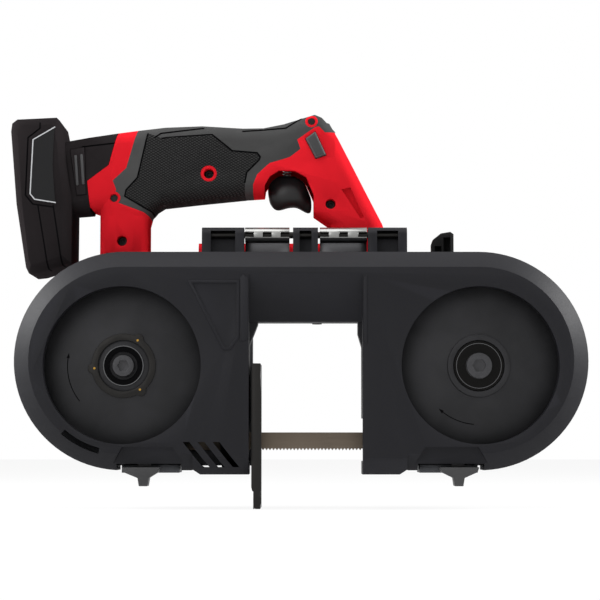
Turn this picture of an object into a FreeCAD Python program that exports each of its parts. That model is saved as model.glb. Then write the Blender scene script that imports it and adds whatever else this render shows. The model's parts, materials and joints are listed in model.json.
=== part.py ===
"""A battery portable band saw: frame, hinged wheel guard, drive train, blade, D handle and battery pack.

Millimetres. +X runs from the battery end to the lever end, +Y from the guard's face to the motor, +Z up.
The origin lies under the middle of the tool's box.
"""

import FreeCAD, Part
import Sketcher
import math
import os

from FreeCAD import Placement, Rotation, Vector

# Driving dimensions: name, millimetres (or degrees, or a count), meaning
SIZES = [
    ("axle_height", 86, "height of both wheel axles"),
    ("drive_axle_x", -103.5, "place of the drive wheel's axle"),
    ("idler_axle_x", 111.5, "place of the idler wheel's axle"),
    ("wheel_radius", 50, "wheel over its tyre"),
    ("wheel_front", -46, "front of a wheel's rim"),
    ("wheel_width", 16, "width of a wheel's rim"),
    ("tyre_thickness", 3, "rubber tyre on the rim"),
    ("tyre_inset", 1, "rim's lip beside the tyre"),
    ("rim_thickness", 3.5, "metal rim under the tyre"),
    ("web_thickness", 4, "disc between rim and hub"),
    ("hub_radius", 19, "wheel hub"),
    ("guard_front", -60, "front face of the wheel guard"),
    ("guard_depth", 37.5, "depth of the wheel guard"),
    ("guard_radius", 66, "rounded ends of the guard"),
    ("guard_rise", 3, "guard's end centre above the axle"),
    ("guard_wall", 3, "wall of the guard"),
    ("guard_bevel", 10, "bevel round the guard's front"),
    ("window_radius", 47.4, "round window over a wheel"),
    ("window_lip", 9, "depth of the lip round a window"),
    ("throat_left", -27.5, "left side of the throat, at the guard"),
    ("throat_right", 41, "right side of the throat, at the guard"),
    ("throat_top", 113, "underside of the bridge over the throat"),
    ("frame_front", -20, "front face of the cast frame"),
    ("frame_thickness", 8, "plate of the cast frame"),
    ("frame_inset", 2.5, "frame's edge inside the guard's edge"),
    ("frame_rim", 4, "rim along the frame's edge"),
    ("frame_rim_depth", 5, "depth of that rim behind the plate"),
    ("hinge_y", -26, "hinge axis, front to back"),
    ("hinge_height", 167.5, "hinge axis above the base"),
    ("knuckle_radius", 4.8, "outside of a hinge knuckle"),
    ("hinge_pin_radius", 2, "hinge pin"),
    ("leaf_thickness", 2, "steel hinge leaf"),
    ("running_gap", 0.3, "gap between faces that move past each other"),
    ("shaft_gap", 0.05, "radial gap of a turning fit"),
    ("blade_width", 12.7, "width of the saw blade"),
    ("blade_thickness", 0.6, "thickness of the saw blade"),
    ("blade_height", 40.4, "height of the blade between its guides"),
    ("blade_twist", 56, "turn of the blade in the throat, degrees"),
    ("tooth_pitch", 2.1, "saw tooth pitch"),
    ("tooth_depth", 1.6, "saw tooth depth"),
    ("guide_inset", 10.5, "guide's middle outside the throat's side"),
    ("roller_radius", 6, "blade guide roller"),
    ("roller_width", 10, "length of a guide roller"),
    ("roller_pin_radius", 2, "pin of a guide roller"),
    ("yoke_plate", 2.5, "guide plate beside the rollers"),
    ("spindle_radius", 6, "drive spindle"),
    ("bearing_radius", 13, "outside of the spindle bearing"),
    ("bearing_width", 7, "width of the spindle bearing"),
    ("gear_module", 1, "module of the output pair"),
    ("output_teeth", 48, "teeth of the output gear"),
    ("pinion_teeth", 12, "teeth of the countershaft pinion"),
    ("first_module", 0.8, "module of the motor pair"),
    ("counter_teeth", 45, "teeth of the countershaft gear"),
    ("motor_teeth", 9, "teeth of the motor pinion"),
    ("gear_line", 20, "slope of the line of gear centres, degrees"),
    ("case_depth", 28, "depth of the gear case"),
    ("case_wall", 4, "wall of the gear case"),
    ("motor_radius", 23, "motor housing"),
    ("motor_length", 36, "length of the motor housing"),
    ("motor_wall", 2.5, "wall of the motor housing"),
    ("cap_length", 8, "motor end cap"),
    ("air_gap", 0.5, "gap between rotor and stator"),
    ("rotor_radius", 13.5, "motor rotor"),
    ("motor_shaft_radius", 2.5, "motor shaft"),
    ("carriage_travel", 6, "slide of the idler carriage"),
    ("lever_x", 93, "place of the tension lever's pivot"),
    ("lever_height", 125, "height of that pivot"),
    ("lever_reach", 47, "pivot to the lever's tip"),
    ("lever_width", 14, "width of the tension lever"),
    ("lever_front", -3.5, "front of the tension lever"),
    ("lever_thickness", 8, "thickness of the tension lever"),
    ("cam_radius", 8, "tension cam"),
    ("cam_throw", 3, "cam's middle off the pivot"),
    ("shoe_height", 87.2, "length of the work shoe"),
    ("shoe_thickness", 3, "plate of the work shoe"),
    ("shoe_front", -56, "front edge of the work shoe"),
    ("latch_travel", 12, "slide of a guard latch"),
    ("handle_middle", 8, "parting plane of the handle, front to back"),
    ("handle_half", 22, "half width of the handle"),
    ("handle_round", 9, "rounding along the handle"),
    ("shell_wall", 2.2, "wall of a handle shell"),
    ("rubber", 2, "thickness of the rubber grip"),
    ("trigger_width", 18, "width of the trigger"),
    ("trigger_travel", 6, "stroke of the trigger"),
    ("battery_tilt", 5.3, "lean of the battery's stem, degrees"),
    ("battery_width", 56, "width of the battery base"),
    ("stem_length", 75, "battery stem inside the handle"),
    ("stem_height", 31.5, "height of that stem"),
    ("stem_width", 33, "width of that stem"),
    ("cell_radius", 7.1, "battery cell"),
    ("cell_length", 60, "length of a battery cell"),
]


class Size:
    """A number from the sheet, or a sum or product of such numbers, with its expression."""

    def __init__(self, number, text):
        self.number = float(number)
        self.text = text

    def __float__(self):
        return self.number

    def __add__(self, other):
        other = as_size(other)
        return Size(self.number + other.number, "(%s + %s)" % (self.text, other.text))

    def __sub__(self, other):
        other = as_size(other)
        return Size(self.number - other.number, "(%s - %s)" % (self.text, other.text))

    def __mul__(self, other):
        other = as_size(other)
        return Size(self.number * other.number, "(%s * %s)" % (self.text, other.text))

    def __truediv__(self, other):
        other = as_size(other)
        return Size(self.number / other.number, "(%s / %s)" % (self.text, other.text))

    def __neg__(self):
        return Size(-self.number, "(0 - %s)" % self.text)

    def __rsub__(self, other):
        return as_size(other) - self

    __radd__ = __add__
    __rmul__ = __mul__


def as_size(item):
    if isinstance(item, Size):
        return item
    return Size(item, "(%.9g)" % float(item))


class Sheet:
    """The driving dimensions by name."""


doc = FreeCAD.newDocument("band_saw")
sheet = doc.addObject("Spreadsheet::Sheet", "Sizes")
S = Sheet()
for row, (alias, amount, meaning) in enumerate(SIZES, start=1):
    sheet.set("A%d" % row, "%g" % amount)
    sheet.setAlias("A%d" % row, alias)
    sheet.set("B%d" % row, meaning)
    setattr(S, alias, Size(amount, "Sizes." + alias))
doc.recompute()

ALONG_Y = Rotation(Vector(1, 0, 0), -90)
ALONG_X = Rotation(Vector(0, 1, 0), 90)
ALONG_Z = Rotation()
NODES = []


def bind(obj, prop, amount):
    obj.setExpression(prop, as_size(amount).text)


def place(obj, at, turn=ALONG_Z):
    obj.Placement = Placement(Vector(*[float(c) for c in at]), turn)
    for letter, amount in zip("xyz", at):
        bind(obj, ".Placement.Base." + letter, amount)
    return obj


def box(at, size):
    """A box from its lowest corner."""
    obj = doc.addObject("Part::Box", "block")
    for prop, amount in zip(("Length", "Width", "Height"), size):
        bind(obj, prop, amount)
    return place(obj, at)


def rod(at, radius, length, turn=ALONG_Y):
    """A cylinder from the middle of its first face, along +Y unless turned."""
    obj = doc.addObject("Part::Cylinder", "rod")
    bind(obj, "Radius", radius)
    bind(obj, "Height", length)
    return place(obj, at, turn)


def cone(at, first, last, length, turn=ALONG_Y):
    obj = doc.addObject("Part::Cone", "cone")
    bind(obj, "Radius1", first)
    bind(obj, "Radius2", last)
    bind(obj, "Height", length)
    return place(obj, at, turn)


def prism(points, start, depth):
    """A sketched (x, z) polygon padded along +Y from y = start."""
    body = doc.addObject("PartDesign::Body", "plate")
    sketch = doc.addObject("Sketcher::SketchObject", "outline")
    body.addObject(sketch)
    plane = [f for f in body.Origin.OriginFeatures if f.Role == "XZ_Plane"][0]
    sketch.AttachmentSupport = [(plane, "")]
    sketch.MapMode = "FlatFace"
    bind(sketch, "AttachmentOffset.Base.z", -as_size(start))
    corners = [Vector(float(x), float(z), 0) for x, z in points]
    count = len(corners)
    for i in range(count):
        sketch.addGeometry(Part.LineSegment(corners[i], corners[(i + 1) % count]), False)
    for i, (x, z) in enumerate(points):
        sketch.addConstraint(Sketcher.Constraint("Coincident", i, 2, (i + 1) % count, 1))
    for i, (x, z) in enumerate(points):
        for kind, amount in (("DistanceX", x), ("DistanceY", z)):
            at = sketch.addConstraint(Sketcher.Constraint(kind, -1, 1, i, 1, float(amount)))
            if isinstance(amount, Size):
                sketch.setExpression("Constraints[%d]" % at, amount.text)
    pad = doc.addObject("PartDesign::Pad", "pad")
    body.addObject(pad)
    pad.Profile = sketch
    pad.Reversed = True
    bind(pad, "Length", depth)
    body.Tip = pad
    return body


def cut(base, *tools):
    for tool in tools:
        step = doc.addObject("Part::Cut", "cut")
        step.Base = base
        step.Tool = tool
        base = step
    return base


def fuse(*pieces):
    step = doc.addObject("Part::MultiFuse", "union")
    step.Shapes = list(pieces)
    step.Refine = True
    return step


def common(*pieces):
    step = doc.addObject("Part::MultiCommon", "overlap")
    step.Shapes = list(pieces)
    return step


def group(*pieces):
    """Several solids kept apart in one sub-part."""
    step = doc.addObject("Part::Compound", "set")
    step.Links = list(pieces)
    return step


def feature(shape):
    obj = doc.addObject("Part::Feature", "form")
    obj.Shape = shape
    return obj


def spoke(at, size, angle):
    """A box turned about the Y axis, with its lowest corner at a place before the turn."""
    c = math.cos(math.radians(angle))
    s = math.sin(math.radians(angle))
    x, y, z = at
    return place(box(at, size), (x * c + z * s, y, z * c - x * s), Rotation(Vector(0, 1, 0), angle))


def tube(at, outer, inner, length, turn=ALONG_Y):
    return cut(rod(at, outer, length, turn), rod(at, inner, length, turn))


def node(name, obj):
    """Names a finished sub-part and lists it for export."""
    obj.Label = name
    NODES.append((name, obj))
    return obj


def cosine(angle):
    return Size(math.cos(math.radians(float(angle))), "cos(%s * 1 deg)" % angle.text)


def sine(angle):
    return Size(math.sin(math.radians(float(angle))), "sin(%s * 1 deg)" % angle.text)


def polygon_solid(points, start, depth):
    """An (x, z) outline given as numbers, extruded along +Y."""
    corners = [Vector(x, start, z) for x, z in points]
    face = Part.Face(Part.makePolygon(corners + corners[:1]))
    return face.extrude(Vector(0, depth, 0))


# Places that several pieces share
GUARD_Z = S.axle_height + S.guard_rise
GUARD_BACK = S.guard_front + S.guard_depth
FRAME_BACK = S.frame_front + S.frame_thickness
FRAME_RADIUS = S.guard_radius - S.frame_inset
FRAME_BOTTOM = GUARD_Z - FRAME_RADIUS
FRAME_TOP = GUARD_Z + FRAME_RADIUS
FRAME_LEFT = S.throat_left + 1.5
FRAME_RIGHT = S.throat_right + 1.5
WHEEL_BACK = S.wheel_front + S.wheel_width
WHEEL_MIDDLE = S.wheel_front + S.wheel_width / 2
TYRE_INNER = S.wheel_radius - S.tyre_thickness
STRAND = S.wheel_radius + S.running_gap + S.blade_thickness / 2
OUTPUT_REACH = S.gear_module * (S.output_teeth + S.pinion_teeth) / 2
FIRST_REACH = S.first_module * (S.counter_teeth + S.motor_teeth) / 2
COUNTER_X = S.drive_axle_x + OUTPUT_REACH * cosine(S.gear_line)
COUNTER_Z = S.axle_height + OUTPUT_REACH * sine(S.gear_line)
MOTOR_X = COUNTER_X + FIRST_REACH * cosine(S.gear_line)
MOTOR_Z = COUNTER_Z + FIRST_REACH * sine(S.gear_line)
CASE_BACK = FRAME_BACK + S.case_depth
CASE_INNER = CASE_BACK - S.case_wall
MOTOR_BACK = CASE_BACK + S.motor_length


def stadium(radius, start, depth):
    """The long outline with a round end about each axle."""
    return fuse(
        rod((S.drive_axle_x, start, GUARD_Z), radius, depth),
        rod((S.idler_axle_x, start, GUARD_Z), radius, depth),
        box((S.drive_axle_x, start, GUARD_Z - radius), (S.idler_axle_x - S.drive_axle_x, depth, 2 * radius)),
    )


def belt(first, first_radius, second, second_radius, start, depth):
    """Two round ends in the (x, z) plane and the strip that is tangent to both."""
    dx = float(second[0]) - float(first[0])
    dz = float(second[1]) - float(first[1])
    length = math.hypot(dx, dz)
    lean = math.acos((float(first_radius) - float(second_radius)) / length)
    heading = math.atan2(dz, dx)
    corners = []
    for middle, radius, side in (
        (first, first_radius, 1), (second, second_radius, 1),
        (second, second_radius, -1), (first, first_radius, -1),
    ):
        turn = heading + side * lean
        corners.append((middle[0] + radius * math.cos(turn), middle[1] + radius * math.sin(turn)))
    return fuse(
        rod((first[0], start, first[1]), first_radius, depth),
        rod((second[0], start, second[1]), second_radius, depth),
        prism(corners, start, depth),
    )


# Cast frame: plate with a back rim, cut out at the throat
CASE_SCREWS = [
    (S.drive_axle_x - 24, S.axle_height + 22), (S.drive_axle_x - 14, S.axle_height - 29),
    (MOTOR_X - 2, MOTOR_Z + 25.5), (MOTOR_X + 2, MOTOR_Z - 25.5),
]
SPINE_SCREWS = [(S.drive_axle_x + 22, FRAME_TOP - 10), (S.throat_left + 48, FRAME_TOP - 16),
                (50, FRAME_TOP - 10)]
SHOE_SCREW_Z = [S.shoe_height - 34, S.shoe_height - 14]
SLOT_HALF = S.spindle_radius + 0.5

SPINE_LEFT = -122.3
SPINE_RIGHT = 58
SPINE_LOW = FRAME_TOP - 18
rim = cut(
    stadium(FRAME_RADIUS, FRAME_BACK, S.frame_rim_depth),
    stadium(FRAME_RADIUS - S.frame_rim, FRAME_BACK, S.frame_rim_depth),
    box((SPINE_LEFT - 2, FRAME_BACK, SPINE_LOW - 0.5),
        (SPINE_RIGHT - SPINE_LEFT + 4, S.frame_rim_depth, 40)),
)
throat_height = S.throat_top + 2 - FRAME_BOTTOM
ribs = [
    box((FRAME_LEFT - S.frame_rim, FRAME_BACK, FRAME_BOTTOM),
        (S.frame_rim, S.frame_rim_depth, throat_height)),
    box((FRAME_RIGHT, FRAME_BACK, FRAME_BOTTOM), (S.frame_rim, S.frame_rim_depth, throat_height)),
    box((FRAME_LEFT - S.frame_rim, FRAME_BACK, S.throat_top + 2),
        (FRAME_RIGHT - FRAME_LEFT + 2 * S.frame_rim, S.frame_rim_depth, S.frame_rim)),
]
KEEPERS = [(-104.7, 34.8), (75.9, 35.1)]
keeper_blocks = [
    box((x, S.frame_front - 21, FRAME_BOTTOM - 4.1),
        (length, 21 + S.frame_thickness, 4.9)) for x, length in KEEPERS
]
frame_casting = cut(
    fuse(stadium(FRAME_RADIUS, S.frame_front, S.frame_thickness), rim, *ribs, *keeper_blocks),
    box((FRAME_LEFT, S.frame_front - 1, FRAME_BOTTOM - 1),
        (FRAME_RIGHT - FRAME_LEFT, S.frame_thickness + S.frame_rim_depth + 2, throat_height + 1)),
    rod((S.drive_axle_x, S.frame_front, S.axle_height), S.bearing_radius, S.frame_thickness),
    box((S.idler_axle_x - SLOT_HALF - S.carriage_travel, S.frame_front, S.axle_height - SLOT_HALF),
        (2 * SLOT_HALF + S.carriage_travel, S.frame_thickness, 2 * SLOT_HALF)),
    rod((COUNTER_X, FRAME_BACK - 6, COUNTER_Z), 3 + S.shaft_gap, 6),
)
frame_casting = cut(
    frame_casting,
    *[rod((x, S.frame_front, z), 1.9, S.frame_thickness) for x, z in CASE_SCREWS + SPINE_SCREWS],
    *[rod((FRAME_LEFT - 12, S.frame_front + S.frame_thickness / 2, z), 1.9, 12, ALONG_X)
      for z in SHOE_SCREW_Z],
)
node("main_frame", frame_casting)

# Gear case behind the drive wheel, open to the frame
case_walls = fuse(
    belt((S.drive_axle_x, S.axle_height), 30, (COUNTER_X, COUNTER_Z), 24, FRAME_BACK, S.case_depth),
    belt((COUNTER_X, COUNTER_Z), 24, (MOTOR_X, MOTOR_Z), 24, FRAME_BACK, S.case_depth),
    *[rod((x, FRAME_BACK, z), 4, 14) for x, z in CASE_SCREWS],
)
case_hollow = fuse(
    belt((S.drive_axle_x, S.axle_height), 30 - S.case_wall, (COUNTER_X, COUNTER_Z), 24 - S.case_wall,
         FRAME_BACK, S.case_depth - S.case_wall),
    belt((COUNTER_X, COUNTER_Z), 24 - S.case_wall, (MOTOR_X, MOTOR_Z), 24 - S.case_wall,
         FRAME_BACK, S.case_depth - S.case_wall),
)
gear_case = cut(
    case_walls, case_hollow,
    rod((S.drive_axle_x, CASE_INNER, S.axle_height), 11, S.case_wall),
    rod((COUNTER_X, CASE_INNER, COUNTER_Z), 7, S.case_wall),
    rod((MOTOR_X, CASE_INNER, MOTOR_Z), 6.5, S.case_wall),
    *[rod((x, FRAME_BACK, z), 1.9, 10) for x, z in CASE_SCREWS],
)
node("gear_case", gear_case)


def bearing(x, start, z, outer, inner, width):
    """Inner and outer ring with a shield between them, one solid."""
    ring = tube((x, start, z), outer, inner + S.shaft_gap, width)
    groove = tube((x, start, z), outer - 1.5, inner + 1.5, 0.5)
    return cut(ring, groove)


node("ball_bearings", group(
    bearing(S.drive_axle_x, S.frame_front + 0.5, S.axle_height, S.bearing_radius, S.spindle_radius,
            S.bearing_width),
    bearing(S.drive_axle_x, CASE_INNER, S.axle_height, as_size(11), S.spindle_radius, S.case_wall),
    bearing(COUNTER_X, CASE_INNER, COUNTER_Z, as_size(7), as_size(3), S.case_wall),
    bearing(MOTOR_X, CASE_INNER, MOTOR_Z, as_size(6.5), S.motor_shaft_radius, S.case_wall),
    bearing(MOTOR_X, MOTOR_BACK + 2, MOTOR_Z, as_size(6.5), S.motor_shaft_radius, as_size(4)),
))


def front_screw(x, z, reach):
    head = rod((x, S.frame_front - 2, z), 3.5, 2)
    hexagon = cut(head, rod((x, S.frame_front - 2, z), 1.6, 1.2))
    return fuse(hexagon, rod((x, S.frame_front, z), 1.9, S.frame_thickness + reach))


frame_screws = [front_screw(x, z, 9) for x, z in CASE_SCREWS]
frame_screws += [front_screw(x, z, 6) for x, z in SPINE_SCREWS]

# Motor: housing with cooling slots, cap, stator, rotor, shaft and fan
housing = tube((MOTOR_X, CASE_BACK, MOTOR_Z), S.motor_radius, S.motor_radius - S.motor_wall, S.motor_length)
slots = []
for i in range(12):
    slots.append(spoke((-1.25, 0, 10), (2.5, 9, S.motor_radius - 9), 30 * i))
slot_ring = fuse(*slots)
place(slot_ring, (MOTOR_X, MOTOR_BACK - 12, MOTOR_Z))
node("motor_housing", cut(housing, slot_ring))
cap = fuse(
    cone((MOTOR_X, MOTOR_BACK + 3, MOTOR_Z), S.motor_radius, S.motor_radius - 4, S.cap_length - 3),
    rod((MOTOR_X, MOTOR_BACK, MOTOR_Z), S.motor_radius, 3),
)
cap_vents = []
for i in range(8):
    angle = 2 * math.pi * i / 8
    cap_vents.append(rod((MOTOR_X + 13 * math.cos(angle), MOTOR_BACK, MOTOR_Z + 13 * math.sin(angle)),
                         2.2, S.cap_length + 1))
node("motor_end_cap", cut(
    cap,
    rod((MOTOR_X, MOTOR_BACK, MOTOR_Z), S.motor_radius - S.motor_wall, 2),
    rod((MOTOR_X, MOTOR_BACK + 2, MOTOR_Z), 6.5, 4),
    *cap_vents,
))
stator = tube((MOTOR_X, CASE_BACK + 6, MOTOR_Z), S.motor_radius - S.motor_wall, S.rotor_radius + S.air_gap,
              20)
node("motor_stator", stator)
rotor = tube((MOTOR_X, CASE_BACK + 7, MOTOR_Z), S.rotor_radius, S.motor_shaft_radius, 18)
node("motor_rotor", rotor)
blades = []
for i in range(9):
    blades.append(spoke((-0.6, 0, 7), (1.2, 5, 9), 40 * i))
fan_ring = fuse(tube((0, 0, 0), 16.5, S.motor_shaft_radius, 1.2),
                tube((0, 0, 0), 8, S.motor_shaft_radius, 5), *blades)
node("motor_fan", place(fan_ring, (MOTOR_X, MOTOR_BACK - 7, MOTOR_Z)))


def gear_outline(teeth, module, addendum, middle, tooth_heading, backlash=0.16):
    """Corners of a spur gear in the (x, z) plane, a tooth pointing along tooth_heading (radians)."""
    pitch = module * teeth / 2
    base = pitch * math.cos(math.radians(20))
    root = pitch - 1.2 * module
    start = max(base, root)
    flat = math.tan(math.radians(20)) - math.radians(20)
    half = math.pi / (2 * teeth) - backlash / (2 * pitch)
    flank = []
    for i in range(5):
        radius = start + (pitch + addendum - start) * i / 4
        slope = math.acos(min(1.0, base / radius))
        flank.append((radius, half + flat - (math.tan(slope) - slope)))
    if root < start:
        flank.insert(0, (root, flank[0][1]))
    corners = []
    for tooth in range(teeth):
        turn = tooth_heading + 2 * math.pi * tooth / teeth
        for radius, angle in flank:
            corners.append((radius, turn - angle))
        for radius, angle in reversed(flank):
            corners.append((radius, turn + angle))
    return [(middle[0] + r * math.cos(a), middle[1] + r * math.sin(a)) for r, a in corners]


def gear(teeth, module, addendum, middle, tooth_heading, start, width):
    middle = (float(middle[0]), float(middle[1]))
    outline = gear_outline(int(float(teeth)), float(module), addendum, middle, tooth_heading)
    return feature(polygon_solid(outline, float(start), float(width)))


# Gear train: motor pinion, countershaft, output gear on the wheel's spindle
line = math.radians(float(S.gear_line))
DRIVE_AXLE = (S.drive_axle_x, S.axle_height)
COUNTER_AXLE = (COUNTER_X, COUNTER_Z)
MOTOR_AXLE = (MOTOR_X, MOTOR_Z)
module_out = float(S.gear_module)
module_in = float(S.first_module)
output_wheel = gear(S.output_teeth, module_out, 0.7 * module_out, DRIVE_AXLE, line, FRAME_BACK + 3, 7)
output_bore = rod((S.drive_axle_x, FRAME_BACK + 3, S.axle_height), S.spindle_radius, 7)
node("output_gear", cut(output_wheel, output_bore))
pinion_phase = line + math.pi + math.pi / float(S.pinion_teeth)
counter_pinion = gear(S.pinion_teeth, module_out, module_out, COUNTER_AXLE, pinion_phase, FRAME_BACK + 2.5,
                      8)
node("counter_shaft", fuse(
    counter_pinion,
    rod((COUNTER_X, FRAME_BACK - 5.5, COUNTER_Z), 3, CASE_BACK - FRAME_BACK + 5),
))
counter_wheel = gear(S.counter_teeth, module_in, 0.5 * module_in, COUNTER_AXLE, line, FRAME_BACK + 16, 6)
node("counter_gear", cut(counter_wheel, rod((COUNTER_X, FRAME_BACK + 16, COUNTER_Z), 3, 6)))
motor_phase = line + math.pi + math.pi / float(S.motor_teeth)
motor_pinion = gear(S.motor_teeth, module_in, module_in, MOTOR_AXLE, motor_phase, FRAME_BACK + 15.5, 7)
node("motor_shaft", fuse(
    motor_pinion,
    rod((MOTOR_X, FRAME_BACK + 20, MOTOR_Z), S.motor_shaft_radius, MOTOR_BACK + 5.5 - FRAME_BACK - 20),
))


def wheel(x, bore, *raised):
    """Rim with lips beside the tyre, front disc and hub."""
    at = (x, S.wheel_front, S.axle_height)
    lip = TYRE_INNER + 1.5
    body = fuse(
        tube(at, TYRE_INNER, TYRE_INNER - S.rim_thickness, S.wheel_width),
        tube(at, lip, TYRE_INNER - S.rim_thickness, S.tyre_inset),
        tube((x, WHEEL_BACK - S.tyre_inset, S.axle_height), lip, TYRE_INNER - S.rim_thickness, S.tyre_inset),
        rod(at, TYRE_INNER - 1, S.web_thickness),
        rod(at, S.hub_radius, S.wheel_width),
        *raised,
    )
    return cut(body, rod((x, S.wheel_front - 3, S.axle_height), bore, S.wheel_width + 4))


def tyre(x):
    return tube((x, S.wheel_front + S.tyre_inset, S.axle_height), S.wheel_radius, TYRE_INNER,
                S.wheel_width - 2 * S.tyre_inset)


def socket_bolt(x, start, head_radius, head_length, shank_radius, shank_length):
    """A socket head screw along +Y."""
    across = float(head_radius) * 0.55
    corners = []
    for i in range(6):
        angle = math.pi * i / 3
        corners.append((x + across * math.cos(angle), S.axle_height + across * math.sin(angle)))
    head = cut(rod((x, start, S.axle_height), head_radius, head_length),
               prism(corners, start, head_length * 0.6))
    return fuse(head, rod((x, start + head_length, S.axle_height), shank_radius, shank_length))


# Drive wheel on its spindle
node("drive_wheel", wheel(
    S.drive_axle_x, S.spindle_radius,
    tube((S.drive_axle_x, S.wheel_front - 2, S.axle_height), 12.3, 8.5, 2),
))
node("drive_tyre", tyre(S.drive_axle_x))
node("drive_spindle", cut(
    rod((S.drive_axle_x, S.wheel_front, S.axle_height), S.spindle_radius, CASE_BACK - 0.5 - S.wheel_front),
    rod((S.drive_axle_x, S.wheel_front, S.axle_height), 3.5, 20),
))
node("drive_bolt", socket_bolt(S.drive_axle_x, S.wheel_front - 4, as_size(6.4), as_size(4), 3.5, 18))
clip = [tube((S.drive_axle_x, S.wheel_front - 1.6, S.axle_height), 19.5, 15.5, 1.6)]
for angle in (61, 185, 305):
    reach = math.radians(angle)
    clip.append(rod((S.drive_axle_x + 18.5 * math.cos(reach), S.wheel_front - 1.6,
                     S.axle_height + 18.5 * math.sin(reach)), 3.2, 1.6))
node("drive_hub_clip", cut(fuse(*clip), rod((S.drive_axle_x, S.wheel_front - 2, S.axle_height), 14.6, 3)))

# Idler wheel on a bearing, carried by a sliding carriage
IDLER_BEARING = 14
node("idler_wheel", wheel(
    S.idler_axle_x, IDLER_BEARING,
    tube((S.idler_axle_x, S.wheel_front - 2, S.axle_height), S.hub_radius, 15.5, 2),
))
node("idler_tyre", tyre(S.idler_axle_x))
node("idler_bearing", bearing(
    S.idler_axle_x, S.wheel_front, S.axle_height, as_size(IDLER_BEARING), S.spindle_radius,
    S.wheel_width - 1,
))
CARRIAGE_FRONT = FRAME_BACK + S.running_gap
CARRIAGE_BACK = CARRIAGE_FRONT + 5.2
CARRIAGE_LEFT = S.idler_axle_x - 18
ARM_FACE = S.lever_x + S.cam_throw + S.cam_radius + 1
carriage = fuse(
    box((CARRIAGE_LEFT, CARRIAGE_FRONT, S.axle_height - 14), (36, CARRIAGE_BACK - CARRIAGE_FRONT, 28)),
    box((ARM_FACE, CARRIAGE_FRONT, S.axle_height + 13), (6, CARRIAGE_BACK - CARRIAGE_FRONT,
                                                         S.lever_height + 5 - S.axle_height - 13)),
)
node("idler_carriage", cut(
    carriage, rod((S.idler_axle_x, CARRIAGE_FRONT, S.axle_height), S.spindle_radius,
                  CARRIAGE_BACK - CARRIAGE_FRONT),
))
AXLE_FRONT = S.wheel_front - 0.4
node("idler_axle", cut(
    fuse(
        rod((S.idler_axle_x, AXLE_FRONT, S.axle_height), S.spindle_radius, CARRIAGE_BACK - AXLE_FRONT),
        rod((S.idler_axle_x, WHEEL_BACK + 0.5, S.axle_height), S.spindle_radius + 3, 2),
    ),
    rod((S.idler_axle_x, AXLE_FRONT, S.axle_height), 3.5, 20),
))
node("idler_bolt", fuse(
    socket_bolt(S.idler_axle_x, AXLE_FRONT - 5.2, as_size(7.6), as_size(4), 3.5, 21),
    tube((S.idler_axle_x, AXLE_FRONT - 1.2, S.axle_height), 15, 3.5, 1.2),
))

# Rails that hold the carriage to the frame, spring post and lever stud
RAIL_INNER = 14 + S.running_gap
LIP_START = CARRIAGE_BACK + S.running_gap
RAIL_BACK = S.lever_front - S.running_gap


def rail(left, length, side):
    """One rail above (side 1) or below (side -1) the carriage, with a lip behind it."""
    low = S.axle_height + RAIL_INNER if side > 0 else S.axle_height - RAIL_INNER - 5
    lip_low = low - 3 if side > 0 else low
    return fuse(
        box((left, FRAME_BACK, low), (length, RAIL_BACK - FRAME_BACK, 5)),
        box((left, LIP_START, lip_low), (length, RAIL_BACK - LIP_START, 8)),
    )


SPRING_SEAT = CARRIAGE_LEFT - 20
stud = fuse(
    rod((S.lever_x, FRAME_BACK, S.lever_height), 4, S.lever_front + S.lever_thickness + 0.3 - FRAME_BACK),
    rod((S.lever_x, S.lever_front + S.lever_thickness + 0.3, S.lever_height), 7, 2),
)
arm_gap_left = ARM_FACE - S.carriage_travel - 1
node("carriage_rails", group(
    rail(CARRIAGE_LEFT - 12, 64, -1),
    rail(CARRIAGE_LEFT - 12, arm_gap_left - CARRIAGE_LEFT + 12, 1),
    rail(ARM_FACE + 7, CARRIAGE_LEFT + 52 - ARM_FACE - 7, 1),
    box((SPRING_SEAT - 4, FRAME_BACK, S.axle_height - 7), (4, RAIL_BACK - FRAME_BACK, 14)),
    stud,
))

# Tension lever with its cam
lever_low = S.lever_height
arm_left = S.lever_x - S.lever_width / 2
arm_right = S.lever_x + S.lever_width / 2
lever_top = S.lever_height + S.lever_reach
arm_blank = prism([
    (arm_left, lever_low), (arm_right, lever_low), (arm_right, lever_top - 1.5), (arm_right - 2, lever_top),
    (arm_left + 6, lever_top - 1), (arm_left + 1, lever_top - 5), (arm_left, lever_top - 8),
], S.lever_front, S.lever_thickness)
lever_body = fuse(
    arm_blank,
    rod((S.lever_x, S.lever_front, S.lever_height), 10, S.lever_thickness),
    rod((S.lever_x + S.cam_throw, CARRIAGE_FRONT + 0.2, S.lever_height), S.cam_radius,
        S.lever_front - CARRIAGE_FRONT),
)
half_pocket = S.lever_width / 2 - 2.6
node("tension_lever", cut(
    lever_body,
    box((arm_left + 2, S.lever_front, lever_low + 13), (half_pocket, 5.5, S.lever_reach - 22)),
    box((S.lever_x + 0.6, S.lever_front, lever_low + 13), (half_pocket, 5.5, S.lever_reach - 16.5)),
    rod((S.lever_x, CARRIAGE_FRONT, S.lever_height), 4 + S.shaft_gap, 20),
))

# Blade guides: a yoke on each side of the throat, turned with the blade, with a roller on each face
STRAND_Z = S.blade_height
TWIST = Rotation(Vector(1, 0, 0), float(S.blade_twist))
ROLLER_OFFSET = S.roller_radius + S.blade_thickness / 2 + S.running_gap
PLATE_INNER = S.blade_width / 2 + S.running_gap
PLATE_OUTER = PLATE_INNER + S.yoke_plate
YOKE_DEPTH = ROLLER_OFFSET + S.roller_radius + 0.4
GUIDE_HALF = 6.5
GUIDES = {"left": S.throat_left - S.guide_inset, "right": S.throat_right + S.guide_inset}


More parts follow.
